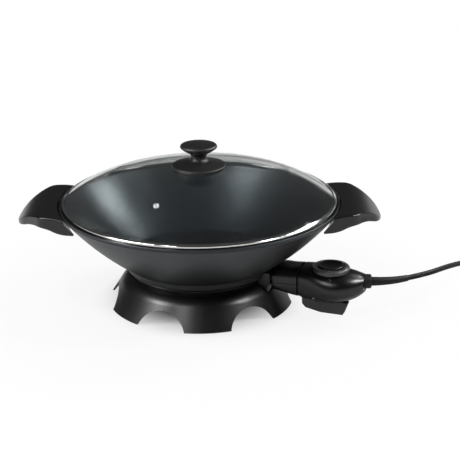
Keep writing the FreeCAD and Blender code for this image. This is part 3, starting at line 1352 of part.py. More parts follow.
def make_cord():
    """The free stretch of the lead, from the strain relief to the coil."""
    wire, radii = rounded_route(CORD_ROUTE)
    path = doc.addObject("Part::Feature", "cord_path")
    path.Shape = wire
    first = Vector(*CORD_ROUTE[0])
    heading = Vector(*CORD_ROUTE[1]) - first
    section = doc.addObject("Part::Circle", "cord_section")
    bind(section, "Radius", "cord_radius")
    section.Placement = Placement(first, Rotation(UP, heading))
    tube = doc.addObject("Part::Sweep", "cord_tube")
    tube.Sections = [section]
    tube.Spine = (path, [f"Edge{i}" for i in range(1, len(wire.Edges) + 1)])
    tube.Solid = True
    node("mains_cord", tube)
    doc.recompute()
    expected = math.pi * number("cord_radius") ** 2 * wire.Length
    print(f"cord {wire.Length:.1f} mm, volume {tube.Shape.Volume:.0f} of {expected:.0f}, radii",
          " ".join(f"{radius:.0f}" for radius in radii))


PLUG_TILT = "atan((plug_radius - plug_tail)/(plug_length - plug_front))"
PLUG_Z = f"(plug_tail*cos({PLUG_TILT}))"


def make_coil():
    """The coiled rest of the lead, its strap and the last short stretch to the plug."""
    ring = cut("coil_ring",
               post("coil_disc", "coil_outer", "coil_height", "coil_x", "coil_y"),
               post("coil_hole", "coil_inner", "coil_height + 2", "coil_x", "coil_y", "-1"))
    node("cord_coil", ring)
    strap = cut("strap_loop",
                box("strap_outside", "-coil_outer - tie_sheet", "0", "coil_width + 2*tie_sheet",
                    "tie_width", "coil_height + tie_sheet"),
                box("strap_inside", "-coil_outer", "-1", "coil_width", "tie_width + 2",
                    "coil_height + 1"))
    node("coil_tie", place(group("strap_placed", [strap]), "coil_x", "coil_y", "0", UP, "-60"))
    node("cord_tail", primitive("Cylinder", "tail_rod",
                                {"Radius": "cord_radius", "Height": "tail_length"},
                                "plug_x", "plug_y + tail_length", PLUG_Z, Vector(1, 0, 0), "90"))


def make_plug():
    """The mains plug, lying on the table on its tapered side."""
    form = turned("plug_form", [
        ("0", "0"),
        ("plug_tail", "0"),
        ("plug_radius", "plug_length - plug_front"),
        ("plug_radius", "plug_length - 1"),
        ("plug_radius - 1", "plug_length", "1", 1),
        ("0", "plug_length"),
    ])
    flats = [box(f"plug_flat_{i}", x, "plug_length - plug_front - 12", "10", "60", "60")
             for i, x in enumerate(("plug_radius - plug_flat", "plug_flat - plug_radius - 10"))]
    sides = ("plug_pin_spacing/2", "-plug_pin_spacing/2")
    sunk = "plug_pin_radius - 0.35"
    holes = [post(f"plug_hole_{i}", sunk, "9", x, "0", "plug_length - 8")
             for i, x in enumerate(sides)]
    body = cut("plug_cut", form, *flats, *holes)
    pins = []
    for i, x in enumerate(sides):
        stub = post(f"plug_pin_stub_{i}", f"{sunk} - thread_play", "7", x, "0",
                    "plug_length - 7")
        free = post(f"plug_pin_free_{i}", "plug_pin_radius",
                    "plug_pin_length - plug_pin_radius", x, "0", "plug_length")
        cap = primitive("Sphere", f"plug_pin_cap_{i}", {"Radius": "plug_pin_radius"}, x, "0",
                        "plug_length + plug_pin_length - plug_pin_radius")
        pins.append(join(f"plug_pin_{i}", [stub, free, cap]))
    for label, thing in (("plug_body", body), ("plug_pins", group("plug_pin_set", pins))):
        node(label, place(thing, "plug_x", "plug_y", PLUG_Z, Vector(1, 0, 0),
                          f"90 deg - {PLUG_TILT}"))


# ---------------------------------------------------------------- build and write

def build():
    make_pan()
    make_base_skirt()
    make_seat_ring()
    make_heat_shield()
    make_base_screws()
    make_heating_element()
    make_terminal_pins()
    make_pin_seals()
    make_socket_guard()
    for tag, turn in (("right", "0"), ("left", "180")):
        make_handle(tag, turn)
    make_handle_screws()
    make_lid_glass()
    make_lid_rim()
    make_vent_grommet()
    make_knob()
    form = probe_loft("probe_form", "0")
    tunnel = stadium("block_tunnel", "0.1", "nose_start - 1", "block_end + 2")
    make_nose(form, tunnel)
    make_collar(tunnel)
    make_housing(form, tunnel)
    make_contact_block()
    make_thermostat()
    make_lever()
    make_dial()
    make_gland()
    make_cord()
    make_coil()
    make_plug()


def check():
    """Stop if anything failed to build."""
    doc.recompute()
    for thing in doc.Objects:
        if {"Invalid", "Error"} & set(thing.State):
            raise RuntimeError(f"{thing.Name} failed: {thing.State}")
    for thing in NODES:
        if thing.Shape.isNull() or not thing.Shape.isValid() or not thing.Shape.Solids:
            raise RuntimeError(f"{thing.Label} has no sound solid")


def write():
    os.makedirs("parts", exist_ok=True)
    for thing in NODES:
        thing.Shape.exportStep(os.path.join("parts", thing.Label + ".step"))
    print(len(NODES), "sub-parts written")


build()
check()
write()
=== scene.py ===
"""Electric wok: finishes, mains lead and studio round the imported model.

Metres, +Z up, X through the two handles, Y away from the user, origin on the table under
the pan. Three CAD nodes of the lead are replaced by one cable. Every other node keeps its
shape and gets a finish here.
"""

import math

import bmesh
import bpy
from mathutils import Matrix, Quaternion, Vector


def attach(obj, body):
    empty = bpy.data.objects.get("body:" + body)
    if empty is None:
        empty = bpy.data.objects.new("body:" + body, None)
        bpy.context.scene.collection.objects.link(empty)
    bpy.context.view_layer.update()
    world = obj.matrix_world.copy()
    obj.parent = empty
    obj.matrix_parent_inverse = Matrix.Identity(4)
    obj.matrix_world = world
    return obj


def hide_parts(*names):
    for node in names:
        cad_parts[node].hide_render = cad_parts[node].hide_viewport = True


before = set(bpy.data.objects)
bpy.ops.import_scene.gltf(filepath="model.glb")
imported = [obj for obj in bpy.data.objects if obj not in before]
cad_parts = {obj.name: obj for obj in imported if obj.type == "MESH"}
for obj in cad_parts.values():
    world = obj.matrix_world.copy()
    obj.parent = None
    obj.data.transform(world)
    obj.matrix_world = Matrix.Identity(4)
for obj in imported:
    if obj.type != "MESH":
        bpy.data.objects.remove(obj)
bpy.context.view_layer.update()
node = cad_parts

MM = 0.001
PROBE_TURN = math.radians(-20)
DIAL_X = 181.5 * MM
DIAL_TOP = 68.3 * MM
DIAL_GRIP_RADIUS = 17.2 * MM
DIAL_CENTRE = Matrix.Rotation(PROBE_TURN, 3, "Z") @ Vector((DIAL_X, 0, DIAL_TOP))


# ---------------------------------------------------------------- camera

VIEW_CENTRE = Vector((40.0, 0.0, 96.0)) * MM
VIEW_DISTANCE = 1.8
VIEW_PITCH = math.radians(20.1)
VIEW_ROLL = math.radians(-0.5)
SENSOR_WIDTH = 36.0
FOCAL_LENGTH = 105.65
NEAREST_SEEN = 0.05
FARTHEST_SEEN = 50.0


def make_camera():
    """A long lens that looks down on the wok from the user's side."""
    data = bpy.data.cameras.new("camera")
    data.sensor_width = SENSOR_WIDTH
    data.lens = FOCAL_LENGTH
    data.clip_start, data.clip_end = NEAREST_SEEN, FARTHEST_SEEN
    camera = bpy.data.objects.new("camera", data)
    bpy.context.scene.collection.objects.link(camera)
    ahead = Vector((0, math.cos(VIEW_PITCH), -math.sin(VIEW_PITCH)))
    camera.location = VIEW_CENTRE - ahead * VIEW_DISTANCE
    camera.rotation_mode = "QUATERNION"
    camera.rotation_quaternion = ahead.to_track_quat("-Z", "Y") @ Quaternion((0, 0, 1), VIEW_ROLL)
    bpy.context.scene.camera = camera


# ---------------------------------------------------------------- finishes

# Width of each pattern's lumps, in millimetres. The grain of a mould, of a metal and of a
# sprayed coat and the mica in it are a few tenths of a millimetre or less on the real
# surfaces. They are drawn coarser here, and in a view of the whole wok they still only soften
# its reflections. The patches are broad enough to show.
MOULD_GRAIN = 0.8
RUBBED_PATCH = 40
METAL_GRAIN = 1.5
METAL_PATCH = 12
GLASS_PATCH = 60
COAT_GRAIN = 0.9
MICA_SPACING = 1.6

# Depth of each relief.
MOULD_DEPTH = 0.008 * MM
METAL_DEPTH = 0.003 * MM
COAT_DEPTH = 0.02 * MM

# A mica speck is whole up to the first distance from its middle, in spacings, and gone at the
# second.
MICA_CORE = 0.12
MICA_EDGE = 0.2

# A point over the pan: faces of the pan that turn towards it are inside.
OVER_PAN = (0.0, 0.0, 0.25)


def linear(code):
    """An sRGB hex colour as linear red, green, blue and alpha."""
    parts = [int(code[i:i + 2], 16) / 255 for i in (1, 3, 5)]
    return [c / 12.92 if c <= 0.04045 else ((c + 0.055) / 1.055) ** 2.4 for c in parts] + [1.0]


def per_metre(size_mm):
    """The scale of a pattern whose lumps are so many millimetres across."""
    return 1000 / size_mm


def add(tree, kind, inputs, **settings):
    """Add a node. An input takes a value, or the node or socket that feeds it."""
    made = tree.nodes.new("ShaderNode" + kind)
    for name, value in settings.items():
        setattr(made, name, value)
    for name, value in inputs.items():
        if isinstance(value, bpy.types.Node):
            value = next(socket for socket in value.outputs if socket.enabled)
        if isinstance(value, bpy.types.NodeSocket):
            tree.links.new(value, made.inputs[name])
        else:
            made.inputs[name].default_value = value
    return made


def start_material(name):
    """An empty material: itself, its node tree and its object coordinates."""
    material = bpy.data.materials.new(name)
    material.use_nodes = True
    tree = material.node_tree
    tree.nodes.clear()
    return material, tree, add(tree, "TexCoord", {}).outputs["Object"]


def moulded(name, dark, light, roughness, shine=0.5):
    """A moulded plastic or rubber: the mould's even spark-eroded grain, and a slow drift of
    gloss where hands and cloths have rubbed it."""
    material, tree, place = start_material(name)
    grain = add(tree, "TexNoise", {"Vector": place, "Scale": per_metre(MOULD_GRAIN),
                                   "Detail": 3.0})
    drift = add(tree, "TexNoise", {"Vector": place, "Scale": per_metre(RUBBED_PATCH),
                                   "Detail": 2.0})
    colour = add(tree, "Mix", {"Factor": drift, "A": linear(dark), "B": linear(light)},
                 data_type="RGBA")
    gloss = add(tree, "MapRange", {"Value": drift, "To Min": roughness[0],
                                   "To Max": roughness[1]})
    relief = add(tree, "Bump", {"Height": grain, "Distance": MOULD_DEPTH})
    shader = add(tree, "BsdfPrincipled", {"Base Color": colour, "Roughness": gloss,
                                          "Specular IOR Level": shine, "Normal": relief})
    add(tree, "OutputMaterial", {"Surface": shader})
    return material


def bare_metal(name, dark, light, roughness):
    """A bare metal: its tone and gloss drift a little, and a fine grain softens reflections."""
    material, tree, place = start_material(name)
    drift = add(tree, "TexNoise", {"Vector": place, "Scale": per_metre(METAL_PATCH),
                                   "Detail": 3.0})
    grain = add(tree, "TexNoise", {"Vector": place, "Scale": per_metre(METAL_GRAIN)})
    colour = add(tree, "Mix", {"Factor": drift, "A": linear(dark), "B": linear(light)},
                 data_type="RGBA")
    gloss = add(tree, "MapRange", {"Value": drift, "To Min": roughness[0],
                                   "To Max": roughness[1]})
    relief = add(tree, "Bump", {"Height": grain, "Distance": METAL_DEPTH})
    shader = add(tree, "BsdfPrincipled", {"Base Color": colour, "Roughness": gloss,
                                          "Metallic": 1.0, "Normal": relief})
    add(tree, "OutputMaterial", {"Surface": shader})
    return material


def two_shot_dial():
    """A dial moulded in two shots of nylon: a black grip inside a dark grey ring."""
    material, tree, place = start_material("two_shot_moulded_nylon")
    spot = add(tree, "SeparateXYZ", {"Vector": add(tree, "VectorMath", {
        0: place, 1: DIAL_CENTRE}, operation="SUBTRACT")})
    flat = add(tree, "CombineXYZ", {"X": spot.outputs["X"], "Y": spot.outputs["Y"]})
    away = add(tree, "VectorMath", {0: flat}, operation="LENGTH").outputs["Value"]
    ring = add(tree, "Math", {0: away, 1: DIAL_GRIP_RADIUS}, operation="GREATER_THAN")
    grain = add(tree, "TexNoise", {"Vector": place, "Scale": per_metre(MOULD_GRAIN),
                                   "Detail": 3.0})
    colour = add(tree, "Mix", {"Factor": ring, "A": linear("#070707"), "B": linear("#3c3c3b")},
                 data_type="RGBA")
    gloss = add(tree, "MapRange", {"Value": grain, "To Min": 0.28, "To Max": 0.42})
    relief = add(tree, "Bump", {"Height": grain, "Distance": MOULD_DEPTH})
    shader = add(tree, "BsdfPrincipled", {"Base Color": colour, "Roughness": gloss,
                                          "Normal": relief})
    add(tree, "OutputMaterial", {"Surface": shader})
    return material


def tempered_glass():
    """Pressed and tempered soda-lime glass: clear, faintly green where it is seen edge on, and
    with a slow drift in its polish. Lamps shine through it as through a window."""
    material, tree, place = start_material("tempered_soda_lime_glass")
    drift = add(tree, "TexNoise", {"Vector": place, "Scale": per_metre(GLASS_PATCH)})
    gloss = add(tree, "MapRange", {"Value": drift, "To Min": 0.0, "To Max": 0.012})
    glass = add(tree, "BsdfPrincipled", {
        "Base Color": linear("#fafdfc"), "Roughness": gloss, "IOR": 1.5,
        "Transmission Weight": 1.0})
    open_to_lamps = add(tree, "BsdfTransparent", {"Color": linear("#f2f6f5")})
    from_lamp = add(tree, "LightPath", {}).outputs["Is Shadow Ray"]
    shader = add(tree, "MixShader", {0: from_lamp, 1: glass, 2: open_to_lamps})
    add(tree, "OutputMaterial", {"Surface": shader})
    return material


def coated_aluminium():
    """Die-cast aluminium under two sprayed coats: satin charcoal outside, and inside a
    blue-black non-stick with fine mica specks and a cool sheen."""
    material, tree, place = start_material("coated_cast_aluminium")
    facing = add(tree, "NewGeometry", {}).outputs["Normal"]
    above = add(tree, "VectorMath", {0: OVER_PAN, 1: place}, operation="SUBTRACT")
    towards = add(tree, "VectorMath", {0: facing, 1: above},
                  operation="DOT_PRODUCT").outputs["Value"]
    inside = add(tree, "Math", {0: towards, 1: 0.0}, operation="GREATER_THAN")
    grain = add(tree, "TexNoise", {"Vector": place, "Scale": per_metre(COAT_GRAIN),
                                   "Detail": 3.0})
    specks = add(tree, "TexVoronoi", {"Vector": place, "Scale": per_metre(MICA_SPACING)})
    mica = add(tree, "MapRange", {"Value": specks.outputs["Distance"], "From Min": MICA_CORE,
                                  "From Max": MICA_EDGE, "To Min": 1.0, "To Max": 0.0})
    charcoal = add(tree, "Mix", {"Factor": grain, "A": linear("#111010"),
                                 "B": linear("#1c1b1b")}, data_type="RGBA")
    blue_black = add(tree, "Mix", {"Factor": mica, "A": linear("#050608"),
                                   "B": linear("#14181d")}, data_type="RGBA")
    colour = add(tree, "Mix", {"Factor": inside, "A": charcoal, "B": blue_black},
                 data_type="RGBA")
    gloss = add(tree, "MapRange", {"Value": inside, "To Min": 0.4, "To Max": 0.27})
    relief = add(tree, "Bump", {"Height": grain, "Distance": COAT_DEPTH})
    shader = add(tree, "BsdfPrincipled", {"Base Color": colour, "Roughness": gloss,
                                          "Specular Tint": linear("#e2eef8"),
                                          "Normal": relief})
    add(tree, "OutputMaterial", {"Surface": shader})
    return material


# ---------------------------------------------------------------- mains lead

# The lead's route from the strain relief to the coil, as in the CAD source.
LEAD_ROUTE = [
    (0.2699, -0.0619, 0.0500),
    (0.2984, -0.0474, 0.0500),
    (0.3260, -0.0160, 0.0460),
    (0.3460, 0.0220, 0.0350),
    (0.3610, 0.0620, 0.0210),
    (0.3740, 0.0990, 0.0085),
]
LEAD_RADIUS = 3.5 * MM
COIL_CENTRE = Vector((433.0, 112.0, 0.0)) * MM
COIL_WIDEST = 45.0 * MM
COIL_START = math.radians(150)
COIL_TURNS_BELOW = 2.3
COIL_TURNS = 4.4167
COIL_STEPS = 16
CLIMB_TURNS = 0.25
TABLE_GAP = 0.1 * MM

# Y and Z of the last stretch, from the coil's side to the plug.
TAIL_ROUTE = [(0.100, 0.0095), (0.088, 0.0058), (0.078, 0.0044)]


def coil_points():
    """The put-away turns: a flat spiral inwards on the table, then outwards on top of it."""
    step = 2 * math.pi / COIL_STEPS
    bulge = 1 / math.cos(step / 2)
    points = []
    count = round(COIL_TURNS * COIL_STEPS)
    narrowest = COIL_WIDEST - 2 * LEAD_RADIUS * COIL_TURNS_BELOW
    for i in range(count + 1):
        turns = i / COIL_STEPS
        climb = min(max((turns - COIL_TURNS_BELOW) / CLIMB_TURNS + 0.5, 0.0), 1.0)
        inward = COIL_WIDEST - 2 * LEAD_RADIUS * turns
        outward = narrowest + (COIL_WIDEST - narrowest) * (
            (turns - COIL_TURNS_BELOW) / (COIL_TURNS - COIL_TURNS_BELOW))
        radius = bulge * (inward if turns < COIL_TURNS_BELOW else outward)
        angle = COIL_START - turns * 2 * math.pi
        height = LEAD_RADIUS * (1 + 2 * climb * climb * (3 - 2 * climb)) + TABLE_GAP
        points.append(COIL_CENTRE + Vector((radius * math.cos(angle), radius * math.sin(angle),
                                            height)))
    return points


def make_lead():
    """One length of cable from the strain relief through the coil to the plug, sheathed in
    extruded PVC: near black and quite matt."""
    tail_x = COIL_CENTRE.x + COIL_WIDEST
    tail = [Vector((tail_x, y, z)) for y, z in TAIL_ROUTE]
    points = [Vector(p) for p in LEAD_ROUTE] + coil_points() + tail
    curve = bpy.data.curves.new("mains_lead", "CURVE")
    curve.dimensions = "3D"
    curve.bevel_depth = LEAD_RADIUS
    curve.bevel_resolution = 6
    curve.use_fill_caps = True
    spline = curve.splines.new("NURBS")
    spline.points.add(len(points) - 1)
    for spot, point in zip(spline.points, points):
        spot.co = (*point, 1.0)
    spline.order_u = 3
    spline.use_endpoint_u = True
    spline.resolution_u = 6
    lead = bpy.data.objects.new("mains_lead", curve)
    bpy.context.scene.collection.objects.link(lead)
    lead.data.materials.append(moulded("flexible_pvc", "#040405", "#09090a", (0.5, 0.6), 0.2))
    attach(lead, "probe")
    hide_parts("mains_cord", "cord_coil", "cord_tail")


# ---------------------------------------------------------------- small pieces

# The shade block's box, before it is turned with the probe.
SHADE_BLOCK_LOW = Vector((93.6, -24.7, 30.1)) * MM
SHADE_BLOCK_HIGH = Vector((103.5, 24.7, 39.4)) * MM
SHADE_BLOCK_EDGE = 0.8 * MM
HIGHEST_SETTING = 5
NUMERAL_RING = 20.5 * MM
NUMERAL_HEIGHT = 2.6 * MM
PRINT_THICKNESS = 0.03 * MM
FIRST_NUMERAL = math.radians(-80)
NUMERAL_STEP = math.radians(-57)
NUMERAL_UPRIGHT = math.radians(90)


def make_socket_lip():
    """A dark block that fills the base's window under the socket guard: painted shade, where the
    glowing table top would otherwise show through the gap.
    """
    # Painted shade: a dark block where the gap under the socket guard would show the glowing
    # table top.
    shape = bmesh.new()
    size = SHADE_BLOCK_HIGH - SHADE_BLOCK_LOW
    bmesh.ops.create_cube(shape, size=1.0)
    bmesh.ops.scale(shape, vec=size, verts=shape.verts)
    bmesh.ops.bevel(shape, geom=shape.edges[:], offset=SHADE_BLOCK_EDGE, segments=3, profile=0.5,
                    affect="EDGES", material=-1)
    bmesh.ops.translate(shape, vec=(SHADE_BLOCK_LOW + SHADE_BLOCK_HIGH) / 2, verts=shape.verts)
    bmesh.ops.rotate(shape, matrix=Matrix.Rotation(PROBE_TURN, 3, "Z"), verts=shape.verts)
    mesh = bpy.data.meshes.new("window_shade_block")
    shape.to_mesh(mesh)
    shape.free()
    shade_block = bpy.data.objects.new("window_shade_block", mesh)
    bpy.context.scene.collection.objects.link(shade_block)
    mesh.materials.append(bpy.data.materials["moulded_polyester_base"])
    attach(shade_block, "wok")


def make_dial_numerals():
    """The heat settings, pad-printed round the dial's ring in pale, slightly satin ink."""
    shape = bmesh.new()
    for value in range(HIGHEST_SETTING + 1):
        text = bpy.data.curves.new("numeral", "FONT")
        text.body = str(value)
        text.size = NUMERAL_HEIGHT
        text.align_x, text.align_y = "CENTER", "CENTER"
        text.extrude = PRINT_THICKNESS
        holder = bpy.data.objects.new("numeral", text)
        flat = bpy.data.meshes.new_from_object(holder)
        angle = FIRST_NUMERAL + value * NUMERAL_STEP
        flat.transform(Matrix.Rotation(PROBE_TURN, 4, "Z")
                       @ Matrix.Translation((DIAL_X, 0, DIAL_TOP))
                       @ Matrix.Rotation(angle, 4, "Z")
                       @ Matrix.Translation((NUMERAL_RING, 0, 0))
                       @ Matrix.Rotation(NUMERAL_UPRIGHT, 4, "Z"))
        shape.from_mesh(flat)
        bpy.data.objects.remove(holder)
        bpy.data.curves.remove(text)
        bpy.data.meshes.remove(flat)
    mesh = bpy.data.meshes.new("dial_numerals")
    shape.to_mesh(mesh)
    shape.free()
    numerals = bpy.data.objects.new("dial_numerals", mesh)
    bpy.context.scene.collection.objects.link(numerals)
    mesh.materials.append(moulded("pad_printed_ink", "#c2c2c0", "#d2d2d0", (0.4, 0.5)))
    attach(numerals, "dial")


# ---------------------------------------------------------------- dressing

def dress_nodes():
    """Give a finish to every CAD node that stays."""
    finishes = [
        (coated_aluminium(), ["wok_pan"]),
        (tempered_glass(), ["lid_glass"]),
        # Rolled stainless strip: bright, with clear reflections.
        (bare_metal("rolled_stainless_steel", "#c9c8c6", "#dedddb", (0.08, 0.16)),
         ["lid_rim"]),
        # Drawn and left satin: pale, with no clear reflection.
        (bare_metal("satin_drawn_steel", "#cfcfce", "#dededd", (0.4, 0.5)), ["vent_grommet"]),
        # Phenolic from a polished mould: black, with sharp highlights along the edges.
        (moulded("moulded_phenolic", "#070606", "#0c0b0b", (0.22, 0.28)),
         ["handle_right", "handle_left"]),
        # Phenolic from a satin mould: black, with broad, soft highlights.
        (moulded("satin_moulded_phenolic", "#070706", "#0c0b0b", (0.42, 0.5)),
         ["knob_base", "lid_knob"]),
        # Heat-proof polyester: black, with a silky sheen on the curved skirt.
        (moulded("moulded_polyester_base", "#070607", "#0c0b0c", (0.3, 0.36)),
         ["base_skirt", "seat_ring"]),
        # Nylon from a polished mould: black and glossy.
        (moulded("glossy_moulded_nylon", "#060606", "#0b0b0b", (0.26, 0.32)),
         ["probe_nose", "housing_upper", "housing_lower"]),
        (two_shot_dial(), ["dial_knob"]),
        # Nylon from a blasted mould: dark grey and matt.
        (moulded("matt_moulded_nylon", "#383737", "#403f3f", (0.55, 0.65)), ["release_lever"]),
        # Rubber: near black and dull.
        (moulded("moulded_rubber", "#060606", "#0b0b0b", (0.5, 0.65), 0.3),
         ["foot_pads", "knob_washer", "probe_collar", "cord_gland", "strain_relief",
          "plug_body", "coil_tie"]),
        # Melamine: dark brown and matt.
        (moulded("pressed_melamine", "#221d1a", "#2c2622", (0.5, 0.6)), ["contact_block"]),
        # Unglazed steatite: cream and matt, like chalk.
        (moulded("fired_steatite", "#d8d2c4", "#e4dfd3", (0.5, 0.6)), ["pin_seals"]),
        # An unlit lens: smoky brown and wet-looking.
        (moulded("smoked_polycarbonate_lens", "#1a1514", "#241c1b", (0.08, 0.14)),
         ["indicator_lens"]),
        # Baked black paint on sheet steel: satin.
        (moulded("black_coated_steel", "#111010", "#181716", (0.35, 0.45)), ["socket_guard"]),
        # Zinc plate: grey and softly shiny.
        (bare_metal("zinc_plated_steel", "#a9abad", "#bcbec0", (0.25, 0.4)),
         ["heat_shield", "thermostat_frame", "base_screws", "handle_screws",
          "housing_screws", "knob_screw"]),
        # Ground steel: bright and smooth.
        (bare_metal("ground_steel", "#bfbfbf", "#d0d0d0", (0.15, 0.25)),
         ["terminal_pins", "sensor_rod", "lever_pin", "dial_shaft", "plug_pins"]),
        # Drawn aluminium: pale grey and softly shiny.
        (bare_metal("drawn_aluminium", "#a5a6a8", "#b8b9bb", (0.3, 0.45)),
         ["heating_element"]),
        # Rolled brass: yellow and softly shiny.
        (bare_metal("rolled_brass", "#b8964f", "#c9a85f", (0.25, 0.35)),
         ["contact_sleeves", "contact_blades"]),
    ]
    for material, names in finishes:
        for name in names:
            for slot in node[name].material_slots:
                slot.material = material


# ---------------------------------------------------------------- studio

# Each softbox: its name, the middle of its cloth, the cloth's two sides, and its watts.
SOFTBOXES = [
    ("softbox_right", (2.07, 1.12, 1.92), (1.3, 0.8), 100),
    ("softbox_right_front", (1.64, -0.5, 1.66), (0.6, 0.6), 46),
    ("softbox_left_high", (-1.25, -0.6, 2.35), (0.8, 0.4), 40),
    ("softbox_left", (-1.75, -0.7, 1.6), (1.3, 1.1), 60),
    ("softbox_front_left", (-0.76, -1.5, 1.47), (0.6, 0.6), 12),
    ("softbox_left_low", (-1.7, -0.75, 0.4), (0.8, 0.6), 14),
]
LAMPS_AIM_AT = Vector((0.0, 0.0, 0.08))

# The cloth's own coordinates run from 0 to 1 along each side. It is brightest up to the first
# distance from its middle and dark from the second.
CLOTH_MIDDLE = (0.5, 0.5, 0.0)
CLOTH_BRIGHT = 2.2
CLOTH_CORE = 0.1
CLOTH_EDGE = 0.5

# How far the table top reaches from its middle.
TABLE_REACH = 6.0

# Distances from the middle of the wok. Up to the first the table top shows only its paint, on
# which the shadow lies. From the second it mostly glows, and from the third it only glows. The
# glow held back inside these distances is a painted shade round the wok.
PAINTED_SHADE_INNER = 0.05
PAINTED_SHADE_EDGE = 0.15
PAINTED_SHADE_END = 0.4
GLOW_AT_EDGE = 0.88

# How much of the glow glossy surfaces mirror, left of the first X and right of the second: a
# painted reflection, strong on the left and faint on the right, that brightens the bowl's left
# flank and leaves its right side dark.
PAINTED_REFLECTION_LEFT = 0.5
PAINTED_REFLECTION_RIGHT = 0.05
MIRROR_FADE_START = -0.08
MIRROR_FADE_END = 0.1

# The room's light from every side, the light that its wall adds, and the upward and rightward
# parts of a direction between which the wall fades.
ROOM_LIGHT = 0.06
WALL_LIGHT = 0.9
WALL_FULL_BELOW = 0.04
WALL_GONE_ABOVE = 0.12
WALL_GONE_LEFT_OF = -0.1
WALL_FULL_RIGHT_OF = 0.3


def seen_directly(tree):
    """1 where the camera looks straight at something or through clear glass, else 0."""
    path = add(tree, "LightPath", {})
    bounces = add(tree, "Math", {0: path.outputs["Diffuse Depth"],
                                 1: path.outputs["Glossy Depth"]})
    unbounced = add(tree, "Math", {0: bounces, 1: 0.5}, operation="LESS_THAN")
    through = add(tree, "Math", {0: path.outputs["Is Transmission Ray"], 1: unbounced},
                  operation="MULTIPLY")
    return add(tree, "Math", {0: path.outputs["Is Camera Ray"], 1: through},
               operation="MAXIMUM")


def white_table_top():
    """White matt paint that takes the wok's soft shadow, and glows white further out and, more
    weakly, in glossy surfaces. The glow fades out towards the wok as a painted round shade, and
    glossy surfaces mirror it strongly on the left and faintly on the right as a painted
    reflection."""
    material, tree, place = start_material("white_table_top")
    paint = add(tree, "BsdfDiffuse", {"Color": linear("#b8b8b8")})
    glow = add(tree, "Emission", {"Color": linear("#ffffff")})
    away = add(tree, "VectorMath", {0: place}, operation="LENGTH").outputs["Value"]
    # Painted shade: the glow fades out towards the wok's middle, so the table darkens round it
    # under any lamp.
    painted_shade_core = add(tree, "MapRange", {"Value": away, "From Min": PAINTED_SHADE_INNER,
                                   "From Max": PAINTED_SHADE_EDGE}, interpolation_type="SMOOTHSTEP")
    painted_shade_tail = add(tree, "MapRange", {"Value": away, "From Min": PAINTED_SHADE_EDGE,
                                    "From Max": PAINTED_SHADE_END, "To Min": GLOW_AT_EDGE,
                                    "To Max": 1.0})
    painted_shade_glow = add(tree, "Math", {0: painted_shade_core, 1: painted_shade_tail}, operation="MULTIPLY")
    # Painted reflection: glossy surfaces see the glow strongly left of the wok and faintly right
    # of it.
    painted_reflection_side = add(tree, "MapRange", {"Value": add(tree, "SeparateXYZ", {"Vector": place}),
                                    "From Min": MIRROR_FADE_START,
                                    "From Max": MIRROR_FADE_END,
                                    "To Min": PAINTED_REFLECTION_LEFT, "To Max": PAINTED_REFLECTION_RIGHT})
    mirrored = add(tree, "LightPath", {}).outputs["Is Glossy Ray"]
    painted_reflection = add(tree, "Math", {0: mirrored, 1: painted_reflection_side}, operation="MULTIPLY")
    seen = add(tree, "Math", {0: seen_directly(tree), 1: painted_reflection}, operation="MAXIMUM")
    share = add(tree, "Math", {0: seen, 1: painted_shade_glow}, operation="MULTIPLY")
    mixed = add(tree, "MixShader", {0: share, 1: paint, 2: glow})
    add(tree, "OutputMaterial", {"Surface": mixed})
    return material


def make_floor():
    """A wide white table top."""
    shape = bmesh.new()
    bmesh.ops.create_grid(shape, x_segments=1, y_segments=1, size=TABLE_REACH)
    mesh = bpy.data.meshes.new("floor")
    shape.to_mesh(mesh)
    shape.free()
    floor = bpy.data.objects.new("floor", mesh)
    bpy.context.scene.collection.objects.link(floor)
    mesh.materials.append(white_table_top())


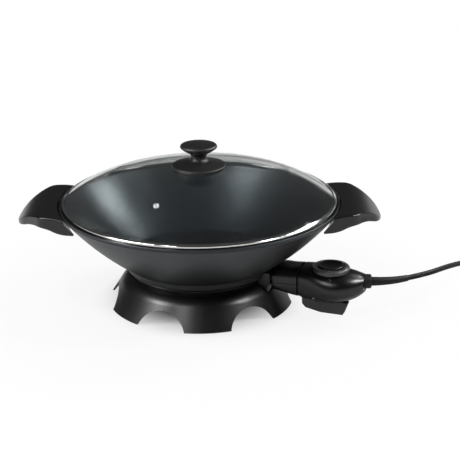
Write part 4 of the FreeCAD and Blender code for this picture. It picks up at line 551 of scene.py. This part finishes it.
def add_softbox(name, place, size, power):
    """A softbox whose cloth is brightest in its middle and fades towards its frame."""
    data = bpy.data.lights.new(name, "AREA")
    data.shape = "RECTANGLE"
    data.size, data.size_y = size
    data.energy = power
    data.use_nodes = True
    tree = data.node_tree
    tree.nodes.clear()
    on_cloth = add(tree, "NewGeometry", {}).outputs["Parametric"]
    from_middle = add(tree, "VectorMath", {0: on_cloth, 1: CLOTH_MIDDLE}, operation="SUBTRACT")
    away = add(tree, "VectorMath", {0: from_middle}, operation="LENGTH").outputs["Value"]
    cloth = add(tree, "MapRange", {"Value": away, "From Min": CLOTH_CORE,
                                   "From Max": CLOTH_EDGE, "To Min": CLOTH_BRIGHT,
                                   "To Max": 0.0}, interpolation_type="SMOOTHSTEP")
    add(tree, "OutputLight", {"Surface": add(tree, "Emission", {"Strength": cloth})})
    lamp = bpy.data.objects.new(name, data)
    bpy.context.scene.collection.objects.link(lamp)
    lamp.location = place
    lamp.rotation_mode = "QUATERNION"
    lamp.rotation_quaternion = (LAMPS_AIM_AT - Vector(place)).to_track_quat("-Z", "Y")


def make_room():
    """A dark room with a pale wall low on the right, and white wherever it is seen directly."""
    world = bpy.data.worlds.new("studio")
    bpy.context.scene.world = world
    world.use_nodes = True
    tree = world.node_tree
    tree.nodes.clear()
    way = add(tree, "SeparateXYZ", {"Vector": add(tree, "TexCoord", {})})
    low = add(tree, "MapRange", {"Value": way.outputs["Z"], "From Min": WALL_FULL_BELOW,
                                 "From Max": WALL_GONE_ABOVE, "To Min": WALL_LIGHT,
                                 "To Max": 0.0})
    right = add(tree, "MapRange", {"Value": way.outputs["X"], "From Min": WALL_GONE_LEFT_OF,
                                   "From Max": WALL_FULL_RIGHT_OF})
    wall = add(tree, "Math", {0: low, 1: right}, operation="MULTIPLY")
    room = add(tree, "Math", {0: wall, 1: ROOM_LIGHT})
    strength = add(tree, "MapRange", {"Value": seen_directly(tree), "To Min": room,
                                      "To Max": 1.0})
    sky = add(tree, "Background", {"Color": linear("#ffffff"), "Strength": strength})
    add(tree, "OutputWorld", {"Surface": sky})


def make_studio():
    """The table, the softboxes round it and the room behind them."""
    make_floor()
    for softbox in SOFTBOXES:
        add_softbox(*softbox)
    make_room()
    bpy.context.scene.view_settings.view_transform = "Standard"


make_camera()
make_lead()
dress_nodes()
make_socket_lip()
make_dial_numerals()
make_studio()
